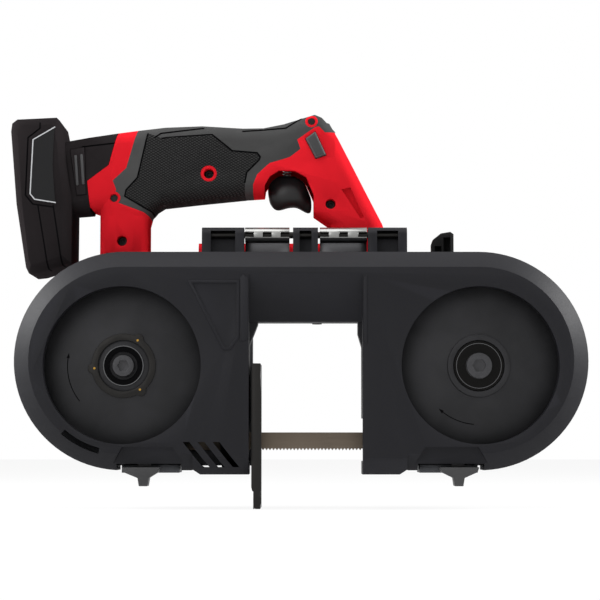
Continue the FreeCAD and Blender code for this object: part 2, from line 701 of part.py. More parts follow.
def turned(y, z):
    """World (y, z) of a point given beside the blade's middle, in the blade's turned frame."""
    c = cosine(S.blade_twist)
    s = sine(S.blade_twist)
    return WHEEL_MIDDLE + y * c - z * s, STRAND_Z + y * s + z * c


def guide_block(x):
    plate = (2 * GUIDE_HALF, S.yoke_plate, 2 * YOKE_DEPTH)
    yoke = fuse(
        box((-GUIDE_HALF, PLATE_INNER, -YOKE_DEPTH), plate),
        box((-GUIDE_HALF, -PLATE_OUTER, -YOKE_DEPTH), plate),
        box((-GUIDE_HALF, -PLATE_OUTER, -YOKE_DEPTH - S.yoke_plate),
            (2 * GUIDE_HALF, 2 * PLATE_OUTER, S.yoke_plate)),
        rod((0, -PLATE_OUTER, ROLLER_OFFSET), S.roller_pin_radius, 2 * PLATE_OUTER),
        rod((0, -PLATE_OUTER, -ROLLER_OFFSET), S.roller_pin_radius, 2 * PLATE_OUTER),
    )
    place(yoke, (x, WHEEL_MIDDLE, STRAND_Z), TWIST)
    far = turned(PLATE_OUTER, -YOKE_DEPTH - S.yoke_plate)
    near = turned(-PLATE_OUTER, -YOKE_DEPTH - S.yoke_plate)
    back = float(S.frame_front)
    corners = [(float(far[0]), float(far[1])), (float(near[0]), float(near[1])),
               (back, float(near[1])), (back, float(far[1]))]
    ring = [Vector(float(x) - GUIDE_HALF, y, z) for y, z in corners]
    foot = Part.Face(Part.makePolygon(ring + ring[:1])).extrude(Vector(2 * GUIDE_HALF, 0, 0))
    return fuse(yoke, feature(foot))


def roller(x, side):
    barrel = tube((0, -S.roller_width / 2, 0), S.roller_radius, S.roller_pin_radius + S.shaft_gap,
                  S.roller_width)
    y, z = turned(0, side * ROLLER_OFFSET)
    return place(barrel, (x, y, z), TWIST)


for side_name, x in GUIDES.items():
    node("guide_block_" + side_name, guide_block(x))
    node("roller_%s_upper" % side_name, roller(x, 1))
    node("roller_%s_lower" % side_name, roller(x, -1))


def saw_blade():
    """The endless blade: round both wheels, straight above, turned through the guides below."""
    inner = float(S.wheel_radius + S.running_gap)
    thick = float(S.blade_thickness)
    wide = float(S.blade_width)
    middle = float(WHEEL_MIDDLE)
    left, right, axle = float(S.drive_axle_x), float(S.idler_axle_x), float(S.axle_height)
    front = middle - wide / 2
    low = float(STRAND_Z)
    tangent = float(S.axle_height - STRAND)
    twist = math.radians(float(S.blade_twist))
    pieces = []
    for x, turn in ((left, 180), (right, 0)):
        ring = Part.makeCylinder(inner + thick, wide).cut(Part.makeCylinder(inner, wide))
        half = ring.common(Part.makeBox(100, 200, wide, Vector(0, -100, 0)))
        half.Placement = Placement(Vector(x, front, axle),
                                   Rotation(Vector(1, 0, 0), -90) * Rotation(Vector(0, 0, 1), turn))
        pieces.append(half)
    pieces.append(Part.makeBox(right - left, wide, thick, Vector(left, front, axle + inner)))
    turned_start = float(GUIDES["left"]) - GUIDE_HALF
    turned_end = float(GUIDES["right"]) + GUIDE_HALF

    def section(x, share):
        angle = twist * share
        height = tangent + (low - tangent) * share
        corners = []
        for y, z in ((-wide / 2, -thick / 2), (wide / 2, -thick / 2), (wide / 2, thick / 2),
                     (-wide / 2, thick / 2)):
            corners.append(Vector(x, middle + y * math.cos(angle) - z * math.sin(angle),
                                  height + y * math.sin(angle) + z * math.cos(angle)))
        return Part.makePolygon(corners + corners[:1])

    level = float(S.carriage_travel) + 2
    for start, end in ((left, turned_start), (right, turned_end)):
        flat = start + math.copysign(level, end - start)
        pieces.append(Part.makeBox(level, wide, thick, Vector(min(start, flat), front, tangent - thick / 2)))
        start = flat
        steps = []
        for i in range(9):
            share = i / 8
            steps.append(section(start + (end - start) * share, share * share * (3 - 2 * share)))
        pieces.append(Part.makeLoft(steps, True, False))
    pitch, depth = float(S.tooth_pitch), float(S.tooth_depth)
    edge = [Vector(turned_start, wide / 2, 0), Vector(turned_start, -wide / 2, 0)]
    count = int((turned_end - turned_start) / pitch)
    for i in range(count):
        x = turned_start + i * pitch + 0.2
        edge.append(Vector(x, -wide / 2, 0))
        edge.append(Vector(x + pitch * 0.55, -wide / 2 + depth, 0))
    edge.append(Vector(turned_end, -wide / 2, 0))
    edge.append(Vector(turned_end, wide / 2, 0))
    strip = Part.Face(Part.makePolygon(edge + edge[:1])).extrude(Vector(0, 0, thick))
    strip.translate(Vector(0, 0, -thick / 2))
    strip.Placement = Placement(Vector(0, middle, low),
                                Rotation(Vector(1, 0, 0), float(S.blade_twist))).multiply(
        strip.Placement)
    pieces.append(strip)
    return pieces[0].multiFuse(pieces[1:])


node("blade", feature(saw_blade()))

# Work shoe beside the throat, with a slot for the blade, a thick front lip and sunk screw heads
SHOE_LEFT = FRAME_LEFT + 2.5
SHOE_RIGHT = SHOE_LEFT + S.shoe_thickness
LIP_LEFT = SHOE_LEFT - 2.4
LIP_RIGHT = SHOE_RIGHT + 0.6
LIP_DEPTH = 4
SCREW_Y = S.frame_front + S.frame_thickness / 2
HEAD_RADIUS = 3.4
HEAD_DEPTH = 1.5
shoe_lip = prism([
    (LIP_LEFT + 1.2, 0), (LIP_RIGHT - 1.4, 1), (LIP_RIGHT, 3.2), (LIP_RIGHT, 7), (LIP_RIGHT - 0.5, 8.2),
    (LIP_RIGHT - 0.5, 10.4), (LIP_RIGHT, 11), (LIP_RIGHT, S.shoe_height - 20),
    (LIP_RIGHT - 0.7, S.shoe_height - 6), (LIP_RIGHT - 1.3, S.shoe_height - 1.8),
    (LIP_RIGHT - 2.6, S.shoe_height), (LIP_LEFT + 0.5, S.shoe_height), (LIP_LEFT, S.shoe_height - 1),
    (LIP_LEFT, 13), (LIP_LEFT + 0.6, 10.8), (LIP_LEFT + 1.2, 10.4),
], S.shoe_front, LIP_DEPTH)
shoe_plate = fuse(
    box((SHOE_LEFT, S.shoe_front + 1, 0),
        (S.shoe_thickness, FRAME_BACK - S.shoe_front - 1, S.shoe_height)),
    box((FRAME_LEFT, S.frame_front, S.shoe_height - 42),
        (SHOE_LEFT - FRAME_LEFT + 1, S.frame_thickness, 36)),
    shoe_lip,
)
node("work_shoe", cut(
    shoe_plate,
    box((SHOE_LEFT, S.shoe_front + LIP_DEPTH + 3, STRAND_Z - 7.4), (S.shoe_thickness, 21, 15)),
    box((SHOE_LEFT, S.shoe_front + 6, 5), (S.shoe_thickness, 24, 5)),
    *[rod((FRAME_LEFT, SCREW_Y, z), 1.9, 8, ALONG_X) for z in SHOE_SCREW_Z],
    *[rod((SHOE_RIGHT - HEAD_DEPTH, SCREW_Y, z), HEAD_RADIUS + S.shaft_gap, 4, ALONG_X)
      for z in SHOE_SCREW_Z],
))
shoe_screws = [
    fuse(
        rod((FRAME_LEFT - 11, SCREW_Y, z), 1.9, SHOE_RIGHT - HEAD_DEPTH - FRAME_LEFT + 11, ALONG_X),
        rod((SHOE_RIGHT - HEAD_DEPTH, SCREW_Y, z), HEAD_RADIUS, HEAD_DEPTH, ALONG_X),
    ) for z in SHOE_SCREW_Z
]
node("frame_screws", group(*frame_screws, *shoe_screws))


def coil(start, end, radius, wire, turns):
    """A compression spring of round wire as long as the space between its seats."""
    length = end - start - 2 * wire
    print("least gap between turns: %.2f mm" % (length / turns - 2 * wire))
    helix = Part.makeHelix(length / turns, length, radius)
    profile = Part.Wire(Part.makeCircle(wire, Vector(radius, 0, 0), Vector(0, 1, 0)))
    return Part.Wire(helix).makePipeShell([profile], True, True)


tension_spring = feature(coil(float(SPRING_SEAT), float(CARRIAGE_LEFT), 2.9, 0.6, 7))
node("tension_spring", place(tension_spring, (SPRING_SEAT + 0.6, CARRIAGE_FRONT + 3.5, S.axle_height),
                             ALONG_X))

# Hinge along the top: steel knuckles on the frame's leaf, moulded knuckles on the guard
LEAF_KNUCKLES = [(-30.6, 27.4), (15.6, 29)]
GUARD_KNUCKLES = [(-57.2, 26.1), (-1, 15.4), (45.3, 24)]
LEAF_FRONT = S.frame_front - S.leaf_thickness
leaf_left = LEAF_KNUCKLES[0][0]
leaf_length = LEAF_KNUCKLES[1][0] + LEAF_KNUCKLES[1][1] - leaf_left
leaf = [box((leaf_left, LEAF_FRONT, FRAME_TOP - 11), (leaf_length, S.leaf_thickness, 9))]
windows = []
for left, length in LEAF_KNUCKLES:
    leaf.append(box((left, LEAF_FRONT, FRAME_TOP - 4),
                    (length, S.leaf_thickness, S.hinge_height - FRAME_TOP + 4)))
    leaf.append(rod((left, S.hinge_y, S.hinge_height), S.knuckle_radius, length, ALONG_X))
    for i in range(3):
        x = left + (length - 5.5) * i / 2
        windows.append(box((x, S.hinge_y - S.knuckle_radius - 1, S.hinge_height - 1.5), (5.5, 4.6, 3.3)))
node("hinge_leaf", cut(
    fuse(*leaf), rod((leaf_left, S.hinge_y, S.hinge_height), S.hinge_pin_radius, leaf_length,
                     ALONG_X), *windows,
))
pin_left = GUARD_KNUCKLES[0][0] + 2
pin_length = GUARD_KNUCKLES[2][0] + GUARD_KNUCKLES[2][1] - 2 - pin_left
node("hinge_pin", rod((pin_left, S.hinge_y, S.hinge_height), S.hinge_pin_radius, pin_length, ALONG_X))


def wedge(left, right, start, depth, front_low, front_high, back_low, back_high):
    """A block whose lower and upper face may lean between its front and its back."""
    obj = doc.addObject("Part::Wedge", "wedge")
    for prop, amount in (
        ("Xmin", left), ("Xmax", right), ("X2min", left), ("X2max", right),
        ("Ymin", start), ("Ymax", start + depth),
        ("Zmin", front_low), ("Zmax", front_high), ("Z2min", back_low), ("Z2max", back_high),
    ):
        bind(obj, prop, amount)
    return obj


TOE = 2.5
TOES = [(S.throat_left - 33.4, S.throat_left), (S.throat_right, S.throat_right + 26.5)]
TOE_SLANT = 5.6
TOE_RISE = 4.5


def guard_form(offset):
    """The guard's outer form, or the same form drawn in by an offset."""
    radius = S.guard_radius - offset
    bevel = S.guard_bevel - 0.586 * offset
    front = S.guard_front + offset
    flat = front + bevel
    depth = GUARD_BACK - flat
    pieces = [stadium(radius, flat, depth)]
    for x in (S.drive_axle_x, S.idler_axle_x):
        pieces.append(cone((x, front, GUARD_Z), radius - bevel, radius, bevel))
    pieces.append(wedge(S.drive_axle_x, S.idler_axle_x, front, bevel,
                        GUARD_Z - radius + bevel, GUARD_Z + radius - bevel,
                        GUARD_Z - radius, GUARD_Z + radius))
    for left, right in TOES:
        low = GUARD_Z - radius - TOE
        pieces.append(wedge(left + offset, right - offset, front, bevel, low + bevel, GUARD_Z, low, GUARD_Z))
        pieces.append(box((left + offset, flat, low), (right - left - 2 * offset, depth, GUARD_Z - low)))
    low = GUARD_Z - radius - TOE - 1
    corners = []
    for edge, way in ((TOES[0][0] + offset, 1), (TOES[1][1] - offset, -1)):
        outer = edge - way
        corners.append(prism([(outer, low), (edge + way * TOE_SLANT, low), (outer, low + TOE_RISE)],
                             front - 1, S.guard_depth + 2))
    form = cut(fuse(*pieces), *corners)
    throat = box((S.throat_left - offset, S.guard_front - 1, 0),
                 (S.throat_right - S.throat_left + 2 * offset, S.guard_depth + 2, S.throat_top + offset))
    lean = wedge(S.throat_left - offset, S.throat_right + offset, S.guard_front + 0.824 * offset, 20,
                 S.throat_top - 10, S.throat_top + 28 + 0.568 * offset,
                 S.throat_top - 10, S.throat_top - 1 + 0.568 * offset)
    nose = box((S.throat_left - offset, S.guard_front - 1, S.throat_top - 10),
               (S.throat_right - S.throat_left + 2 * offset, 1 + 0.824 * offset, 38 + 0.568 * offset))
    return cut(form, throat, lean, nose)


shell = cut(guard_form(as_size(0)), guard_form(S.guard_wall))
lips = []
windows = []
for x in (S.drive_axle_x, S.idler_axle_x):
    lips.append(rod((x, S.guard_front, S.axle_height), S.window_radius + 2, S.window_lip))
    windows.append(rod((x, S.guard_front - 1, S.axle_height), S.window_radius, S.window_lip + 2))
shell = fuse(shell, *lips)

# Latch bays: a shallow bay in the face, a floor with a slot below it
BAYS = [((-109, -66), (-103, -73)), ((72, 116), (78, 110))]
BAY_TOP = S.axle_height - S.window_radius - 1.6
FLOOR = GUARD_Z - S.guard_radius + 4
BAY_BACK = S.guard_front + 6
additions = []
removals = []
for (low_left, low_right), (top_left, top_right) in BAYS:
    width = low_right - low_left + 6
    additions.append(box((low_left - 3, BAY_BACK, FLOOR), (width, GUARD_BACK - BAY_BACK, S.guard_wall)))
    additions.append(box((low_left - 3, S.guard_front + 2, FLOOR), (width, 7, BAY_TOP + 3 - FLOOR)))
    removals.append(box((low_left + 2, S.guard_front - 1, 0), (width - 10, S.guard_depth + 2, FLOOR)))
    removals.append(prism([(low_left, FLOOR - 6), (low_right, FLOOR - 6), (low_right, FLOOR),
                           (top_right, BAY_TOP), (top_left, BAY_TOP), (low_left, FLOOR)],
                          S.guard_front - 1, BAY_BACK - S.guard_front + 1))
kept = common(fuse(*additions), guard_form(as_size(0)))
shell = cut(fuse(shell, kept), *windows, *removals)

# Knuckle arms, corner webs at the throat
arms = []
pockets = []
for left, length in GUARD_KNUCKLES:
    arms.append(box((left, S.hinge_y - S.knuckle_radius, GUARD_Z + S.guard_radius - 2),
                    (length, GUARD_BACK - S.hinge_y + S.knuckle_radius,
                     S.hinge_height - GUARD_Z - S.guard_radius + 2)))
    arms.append(rod((left, S.hinge_y, S.hinge_height), S.knuckle_radius, length, ALONG_X))
    side = 4 if length < 20 else 5.5
    pockets.append(box((left + side, S.hinge_y - S.knuckle_radius - 1, GUARD_Z + S.guard_radius + 1),
                       (length - 2 * side, S.knuckle_radius + 2.5,
                        S.hinge_height - GUARD_Z - S.guard_radius + 1.5)))
webs = [
    prism([(S.throat_left - 1, S.throat_top + 1), (S.throat_left + 5, S.throat_top + 1),
           (S.throat_left + 5, S.throat_top - 1), (S.throat_left, S.throat_top - 14),
           (S.throat_left - 1, S.throat_top - 14)], GUARD_BACK - 16, 16),
    prism([(S.throat_right + 1, S.throat_top + 1), (S.throat_right - 2.3, S.throat_top + 1),
           (S.throat_right - 2.3, S.throat_top - 7), (S.throat_right, S.throat_top - 15),
           (S.throat_right + 1, S.throat_top - 15)], GUARD_BACK - 16, 16),
]
shell = fuse(shell, *arms, *webs)
bore = rod((pin_left - 4, S.hinge_y, S.hinge_height), S.hinge_pin_radius + S.shaft_gap, pin_length + 8,
           ALONG_X)

# Openings in the guard: blade slots, louvres, curved slot, sunk panel, latch slots
PANEL = [(-61.6, 135.2), (-35, 135.2), (-35, 103), (-39.4, 96.9), (-41.6, 96.9)]
openings = list(pockets) + [bore]
for x in (S.throat_left - S.guard_wall, S.throat_right):
    openings.append(box((x - 0.5, WHEEL_MIDDLE - 11, STRAND_Z - 12), (S.guard_wall + 1, 30, 26)))
for top in (-64.8, -55.8, -46.9):
    openings.append(prism([(top - 2, 40), (top + 2, 40), (top + 13.9, 25), (top + 9.9, 25)],
                          S.guard_front - 1, 14))
curve = []
for i in range(9):
    angle = math.radians(228.8 + (255.5 - 228.8) * i / 8)
    curve.append((S.drive_axle_x + 51.2 * math.cos(angle), S.axle_height + 51.2 * math.sin(angle)))
for i in range(9):
    angle = math.radians(255.5 - (255.5 - 228.8) * i / 8)
    curve.append((S.drive_axle_x + 54.7 * math.cos(angle), S.axle_height + 54.7 * math.sin(angle)))
openings.append(prism(curve, S.guard_front - 1, 9))
openings.append(prism(PANEL, S.guard_front - 0.2, 1))

# Sliding latches under the guard: name, bar ends, stem ends, way of travel
LATCHES = [("left", (-103.5, -80.7), (-93.9, -87.3), 1), ("right", (87.1, 110.6), (95.3, 101.8), -1)]
NECK_Y = S.guard_front + 12
for latch_name, bar, stem, way in LATCHES:
    middle = (stem[0] + stem[1]) / 2
    reach = S.latch_travel + S.running_gap
    slot_left = middle - 4 - S.running_gap if way > 0 else middle - 4 - reach
    openings.append(box((slot_left, NECK_Y - S.running_gap, FLOOR - 1),
                        (8 + S.running_gap + reach, 4 + 2 * S.running_gap, S.guard_wall + 2)))
    outline = [(bar[0], FLOOR - 2.1), (bar[0] + 1, FLOOR - 5), (stem[0], FLOOR - 8.5),
               (stem[0] + 0.8, FLOOR - 13.4), (stem[1] - 0.8, FLOOR - 13.4), (stem[1], FLOOR - 8.5),
               (bar[1] - 1, FLOOR - 5), (bar[1], FLOOR - 2.1)]
    node("guard_latch_" + latch_name, fuse(
        prism(outline, S.guard_front + 3, 15),
        box((middle - 4, NECK_Y, FLOOR - 3), (8, 4, S.guard_wall + 3 + S.running_gap)),
        box((middle - 5, NECK_Y - 2, FLOOR + S.guard_wall + S.running_gap), (10, 8, 2)),
    ))
node("guard_door", cut(shell, fuse(*openings)))

# Handle: a grip, a front post, a rear post and a spine along the frame, each lofted through rounded sections
HANDLE_MID = float(S.handle_middle)
GRIP_SECTIONS = [
    (-147, 182.9, 228.3), (-129, 184.4, 231.5), (-110.7, 186.4, 234.2), (-98.4, 187.6, 235.8),
    (-81.6, 189.4, 237.8),
    (-58.4, 192.0, 238.7), (-32.6, 194.6, 237.2), (-19.7, 195.4, 237.4), (-6.8, 195.6, 240),
    (4.8, 196, 243.6),
    (12.6, 197, 246), (17, 198, 244.2), (25.4, 199, 235),
]
FRONT_SECTIONS = [
    (240, 0, 22), (230, 0, 27.6), (215, 2, 35.3), (200, 4, 42.9), (184, 11.2, 51.1), (176.3, 22.3, 55.1),
    (166, 26.5, 58), (138.7, 28, 58),
]
REAR_SECTIONS = [
    (205, -119, -76), (196, -121.5, -78), (190, -122.3, -82), (186.5, -122.3, -87.5), (182.5, -122.3, -90.8),
    (177, -122.3, -92.3), (164, -122.3, -92.3), (138.7, -122.3, -92.3),
]


def rounded_section(place_at, low, high, near, far, radius):
    """A closed wire: a rectangle with round corners, its corners placed by place_at(across, y)."""
    k = radius * (1 - math.sqrt(0.5))
    runs = [
        ((low, near + radius), (low + k, near + k), (low + radius, near)),
        ((high - radius, near), (high - k, near + k), (high, near + radius)),
        ((high, far - radius), (high - k, far - k), (high - radius, far)),
        ((low + radius, far), (low + k, far - k), (low, far - radius)),
    ]
    edges = []
    for i, run in enumerate(runs):
        a, b, c = [place_at(*point) for point in run]
        edges.append(Part.Arc(a, b, c).toShape())
        edges.append(Part.LineSegment(c, place_at(*runs[(i + 1) % 4][0])).toShape())
    return Part.Wire(edges)


def grip_form(inset):
    """The long grip with the battery's neck, drawn in by an inset."""
    near = HANDLE_MID - float(S.handle_half) + inset
    far = HANDLE_MID + float(S.handle_half) - inset
    radius = float(S.handle_round) - 0.7 * inset
    wires = []
    for i, (x, low, high) in enumerate(GRIP_SECTIONS):
        x = x - inset if i == len(GRIP_SECTIONS) - 1 else x
        wires.append(rounded_section(lambda z, y, x=x: Vector(x, y, z), low + inset, high - inset, near, far,
                                     radius))
    return Part.makeLoft(wires, True, True)


def handle_form(inset):
    """The handle's outer form, or the same form drawn in by an inset."""
    near = HANDLE_MID - float(S.handle_half) + inset
    far = HANDLE_MID + float(S.handle_half) - inset
    radius = float(S.handle_round) - 0.7 * inset
    posts = []
    for sections in (FRONT_SECTIONS, REAR_SECTIONS):
        wires = []
        for i, (z, left, right) in enumerate(sections):
            z = z - inset if i == 0 else z
            z = z + inset if i == len(sections) - 1 else z
            wires.append(rounded_section(lambda x, y, z=z: Vector(x, y, z), left + inset, right - inset,
                                         near, far, radius))
        posts.append(Part.makeLoft(wires, True, True))
    low = float(SPINE_LOW)
    blocks = []
    for left, bottom, right, top in ((SPINE_LEFT, low, -56, 154), (-60, low, SPINE_RIGHT, 164)):
        wires = [
            rounded_section(lambda z, y, x=x: Vector(x, y, z), bottom + inset, top - inset, near, far,
                            min(radius, 5))
            for x in (left + inset, right - inset)
        ]
        blocks.append(Part.makeLoft(wires, True, True))
    form = grip_form(inset).multiFuse(posts + blocks)
    flush = float(FRAME_BACK) + inset
    trim = Part.makeBox(400, 60, 158 - 100 + inset, Vector(-200, flush - 60, 100))
    return form.cut(trim).removeSplitter()


def mask(points):
    """A tall column over an (x, z) outline, wider than the handle."""
    return polygon_solid(points, -60, 140)


def across(x, z, radius, start, end):
    """A cylinder along +Y given as numbers."""
    return Part.makeCylinder(radius, end - start, Vector(x, start, z), Vector(0, 1, 0))


def grown(points, amount):
    """A polygon's outline moved outwards by an amount."""
    wire = Part.makePolygon([Vector(x, 0, z) for x, z in points + points[:1]])
    bigger = wire.makeOffset2D(amount, 2)
    return Part.Face(bigger)


def eased_block(points, near, far, ease):
    """An (x, z) outline between two planes, drawn in towards its middle at both faces."""
    xs = [x for x, z in points]
    zs = [z for x, z in points]
    mid_x = (min(xs) + max(xs)) / 2
    mid_z = (min(zs) + max(zs)) / 2
    share_x = 1 - 2 * ease / (max(xs) - min(xs))
    share_z = 1 - 2 * ease / (max(zs) - min(zs))
    wires = []
    for y, small in ((near, 1), (near + ease * 0.4, 0.4), (near + ease, 0), (far - ease, 0),
                     (far - ease * 0.4, 0.4), (far, 1)):
        ring = []
        for x, z in points:
            ring.append(Vector(mid_x + (x - mid_x) * (1 + (share_x - 1) * small), y,
                               mid_z + (z - mid_z) * (1 + (share_z - 1) * small)))
        wires.append(Part.makePolygon(ring + ring[:1]))
    return Part.makeLoft(wires, True, True)


COLLAR = [(-110.7, 234.2), (-116.5, 212.9), (-129.9, 202.9), (-128.1, 186.4), (-122.3, 184)]
SHELL_MASK = [(-110.7, 262)] + COLLAR + [(-123.3, 120), (200, 120), (200, 262)]
GRIP_MASK = [
    (-96.5, 262), (-98.4, 235.8), (-105.5, 211.1), (-113.9, 203.2), (-111.8, 197.8),
    (-113.3, 190.3), (-94.5, 183.3),
    (-84, 176), (-26.1, 184), (-26.1, 200.6), (-23.5, 207.1), (-15.8, 214.2),
    (-6.8, 216.8), (-2.9, 218.1), (3.6, 223.2),
    (1.6, 229), (12.6, 236.8), (15.2, 237.4), (19, 233.5), (40, 234.5), (40, 262),
]
TRIGGER_OUTLINE = [
    (-17.1, 200.6), (-15.8, 191.6), (-11.9, 187.1), (-8.1, 187.7), (-4.2, 189.3),
    (1, 189.6), (7.4, 185.8), (10.6, 185.2),
    (10.6, 194.1), (6.1, 204.5), (-0.3, 208.1), (-9.4, 208.4), (-14.5, 205.1),
]
TRIGGER_BAY = [
    (-18.6, 201), (-19.7, 191.4), (-21, 178), (14, 178), (11.9, 184), (11.9, 194.6), (7.1, 205.6),
    (0, 209.4), (-9.9, 209.7), (-15.5, 206.2),
]
LOCK_OUTLINE = [(6.8, 229.4), (12.8, 234), (19.6, 219.2), (13.2, 217)]
SLOT_RECESS = [(29.3, 197.6), (34.8, 198.8), (43.3, 180.2), (41, 179.6)]
CASE_HOLES = [(-53.8, 207.6, 5.2), (-107.9, 165.3, 4.5), (22.4, 188.5, 4.5)]
DIMPLES = [(-113, 192.2), (10.5, 240.7)]
POST_TOP = 181
POST_RIGHT = -91

near_face = HANDLE_MID - float(S.handle_half)
far_face = HANDLE_MID + float(S.handle_half)
gap = float(S.running_gap)
outer_form = handle_form(0).common(mask(SHELL_MASK))
under_rubber = handle_form(float(S.rubber))
hollow = handle_form(float(S.rubber + S.shell_wall))
bosses = [across(x, z, radius, near_face, far_face) for x, z, radius in CASE_HOLES]
boss_set = bosses[0].multiFuse(bosses[1:])
rubber_layer = outer_form.cut(under_rubber).common(mask(GRIP_MASK)).cut(bosses[0])
shell_pair = outer_form.cut(rubber_layer).cut(hollow).fuse(boss_set.common(outer_form))

cuts = [mask(TRIGGER_BAY)]
lock_hole = grown(LOCK_OUTLINE, gap).extrude(Vector(0, 100, 0))
lock_hole.translate(Vector(0, -40, 0))
cuts.append(lock_hole)
cuts.append(polygon_solid(SLOT_RECESS, near_face - 1, 4))
for x, z in DIMPLES:
    cuts.append(across(x, z, 2.6, near_face - 1, near_face + 3))
head_seat = near_face + 10
for x, z, radius in CASE_HOLES:
    cuts.append(across(x, z, 3.2, near_face - 1, head_seat))
    cuts.append(across(x, z, 1.6, head_seat, far_face - 8))
for x, z in SPINE_SCREWS:
    cuts.append(across(float(x), float(z), 1.9, float(FRAME_BACK) - 1, float(FRAME_BACK) + 6))
cut_set = cuts[0].multiFuse(cuts[1:])
shell_pair = shell_pair.cut(cut_set)
rubber_layer = rubber_layer.cut(cut_set)
near_side = Part.makeBox(600, 100, 400, Vector(-300, HANDLE_MID - 100, 0))
post_region = Part.makeBox(49, 200, POST_TOP - 120, Vector(POST_RIGHT - 49, HANDLE_MID - 100, 120))
post_pair = shell_pair.common(post_region)
shell_pair = shell_pair.cut(post_region)
for part_name, pair in (("handle_shell", shell_pair), ("handle_post", post_pair), ("grip", rubber_layer)):
    node(part_name + "_near", feature(pair.common(near_side)))
    node(part_name + "_far", feature(pair.cut(near_side)))
node("handle_screws", group(*[
    fuse(
        cut(rod((x, head_seat - 3, z), 3, 3), rod((x, head_seat - 3, z), 1.4, 1.6)),
        rod((x, head_seat, z), 1.6, far_face - 9 - head_seat),
    ) for x, z, radius in CASE_HOLES
]))

# Trigger, its spring and switch, lock button
trigger_front = HANDLE_MID - float(S.trigger_width) / 2
trigger_form = polygon_solid(TRIGGER_OUTLINE, trigger_front, float(S.trigger_width))
long_edges = [e for e in trigger_form.Edges if abs(e.Vertexes[0].Y - e.Vertexes[1].Y) < 0.01]
TRIGGER_TOP = max(z for x, z in TRIGGER_OUTLINE)
SWITCH_LOW = TRIGGER_TOP + S.trigger_travel + 1
SPRING_X = -5
spring_floor = TRIGGER_TOP - 5
spring_well = Part.makeCylinder(3.4, 10, Vector(SPRING_X, HANDLE_MID, spring_floor))
node("trigger", feature(trigger_form.makeChamfer(1.5, long_edges).cut(spring_well)))
trigger_spring = feature(coil(float(spring_floor), float(SWITCH_LOW), 2.4, 0.4, 6))
node("trigger_spring", place(trigger_spring, (SPRING_X, HANDLE_MID, spring_floor + 0.4)))
inner_near = near_face + float(S.rubber + S.shell_wall)
inner_width = 2 * (HANDLE_MID - inner_near)
node("trigger_switch", fuse(
    box((-24, HANDLE_MID - 9, SWITCH_LOW), (27, 18, 13)),
    box((-22, inner_near, SWITCH_LOW + 3), (20, inner_width, 7)),
))
lock_form = polygon_solid(LOCK_OUTLINE, near_face - 2.5, far_face - near_face + 1)
end_edges = [e for e in lock_form.Edges if abs(e.Vertexes[0].Y - e.Vertexes[1].Y) < 0.01]
node("lock_button", feature(lock_form.makeChamfer(0.8, end_edges)))

# Terminal block at the end of the socket, control board in the spine
tilt = math.radians(float(S.battery_tilt))
STEM_START = Vector(-141, HANDLE_MID, 208.05)
stem_end_x = STEM_START.x + float(S.stem_length) * math.cos(tilt)
stem_end_z = STEM_START.z + float(S.stem_length) * math.sin(tilt)
TERMINAL_X = stem_end_x + 2.6
node("battery_terminals", box((TERMINAL_X, inner_near, stem_end_z - 9), (3.2, inner_width, 18)))
BOARD_Z = SPINE_LOW + S.rubber + S.shell_wall
node("control_board", fuse(
    box((-50, HANDLE_MID - 10, BOARD_Z), (70, 20, 1.6)),
    box((-44, HANDLE_MID - 8, BOARD_Z + 1.6), (14, 14, 7)),
    rod((-14, HANDLE_MID - 8, BOARD_Z + 6.5), 5, 18),
    box((-2, HANDLE_MID - 7, BOARD_Z + 1.6), (16, 12, 3)),
))
node("led_lamp", fuse(
    rod((14, FRAME_BACK + S.frame_rim_depth + 6, S.throat_top + 2 - 1.2), 3, 1.2, ALONG_Z),
    box((9, FRAME_BACK + S.frame_rim_depth, S.throat_top + 2), (10, 12, SPINE_LOW - S.throat_top - 2)),
))

# Battery: base with a neck, stem in the handle's socket, cells, label and squeeze latches
BASE_OUTLINE = [
    (-177, 238.9), (-173.8, 241.5), (-149.1, 242.7), (-147.2, 240.8), (-144.7, 228.8),
    (-139.4, 192.8), (-139.6, 151.6),
    (-159.9, 145.3), (-165.6, 144.7), (-167.5, 148.5), (-173.8, 188.3), (-177.6, 233.9),
]
LABEL_OUTLINE = [(-149.8, 236), (-163.5, 228), (-165, 194), (-162.2, 190.6), (-149, 188.5), (-150.8, 212)]
LATCH_OUTLINE = [(-140.5, 222.5), (-131.8, 224), (-130.6, 194.5), (-136.2, 194)]
base_near = HANDLE_MID - float(S.battery_width) / 2
base_block = eased_block(BASE_OUTLINE, base_near, base_near + float(S.battery_width), 5)
collar_side = [(x - gap, z) for x, z in COLLAR[:-1]]
NECK_MASK = [(-220, 262), (-110.7 - gap, 262)] + collar_side + [(-128.1 - gap, 150), (-220, 150)]
neck = grip_form(0).common(mask(NECK_MASK))

stem_half = float(S.stem_height) / 2
stem_side = float(S.stem_width) / 2
stem_turn = Rotation(Vector(0, 1, 0), -float(S.battery_tilt))


def in_stem(shape):
    """Sets a form drawn along +X from the origin into the stem's place."""
    moved = shape.copy()
    moved.Placement = Placement(STEM_START, stem_turn).multiply(shape.Placement)
    return moved


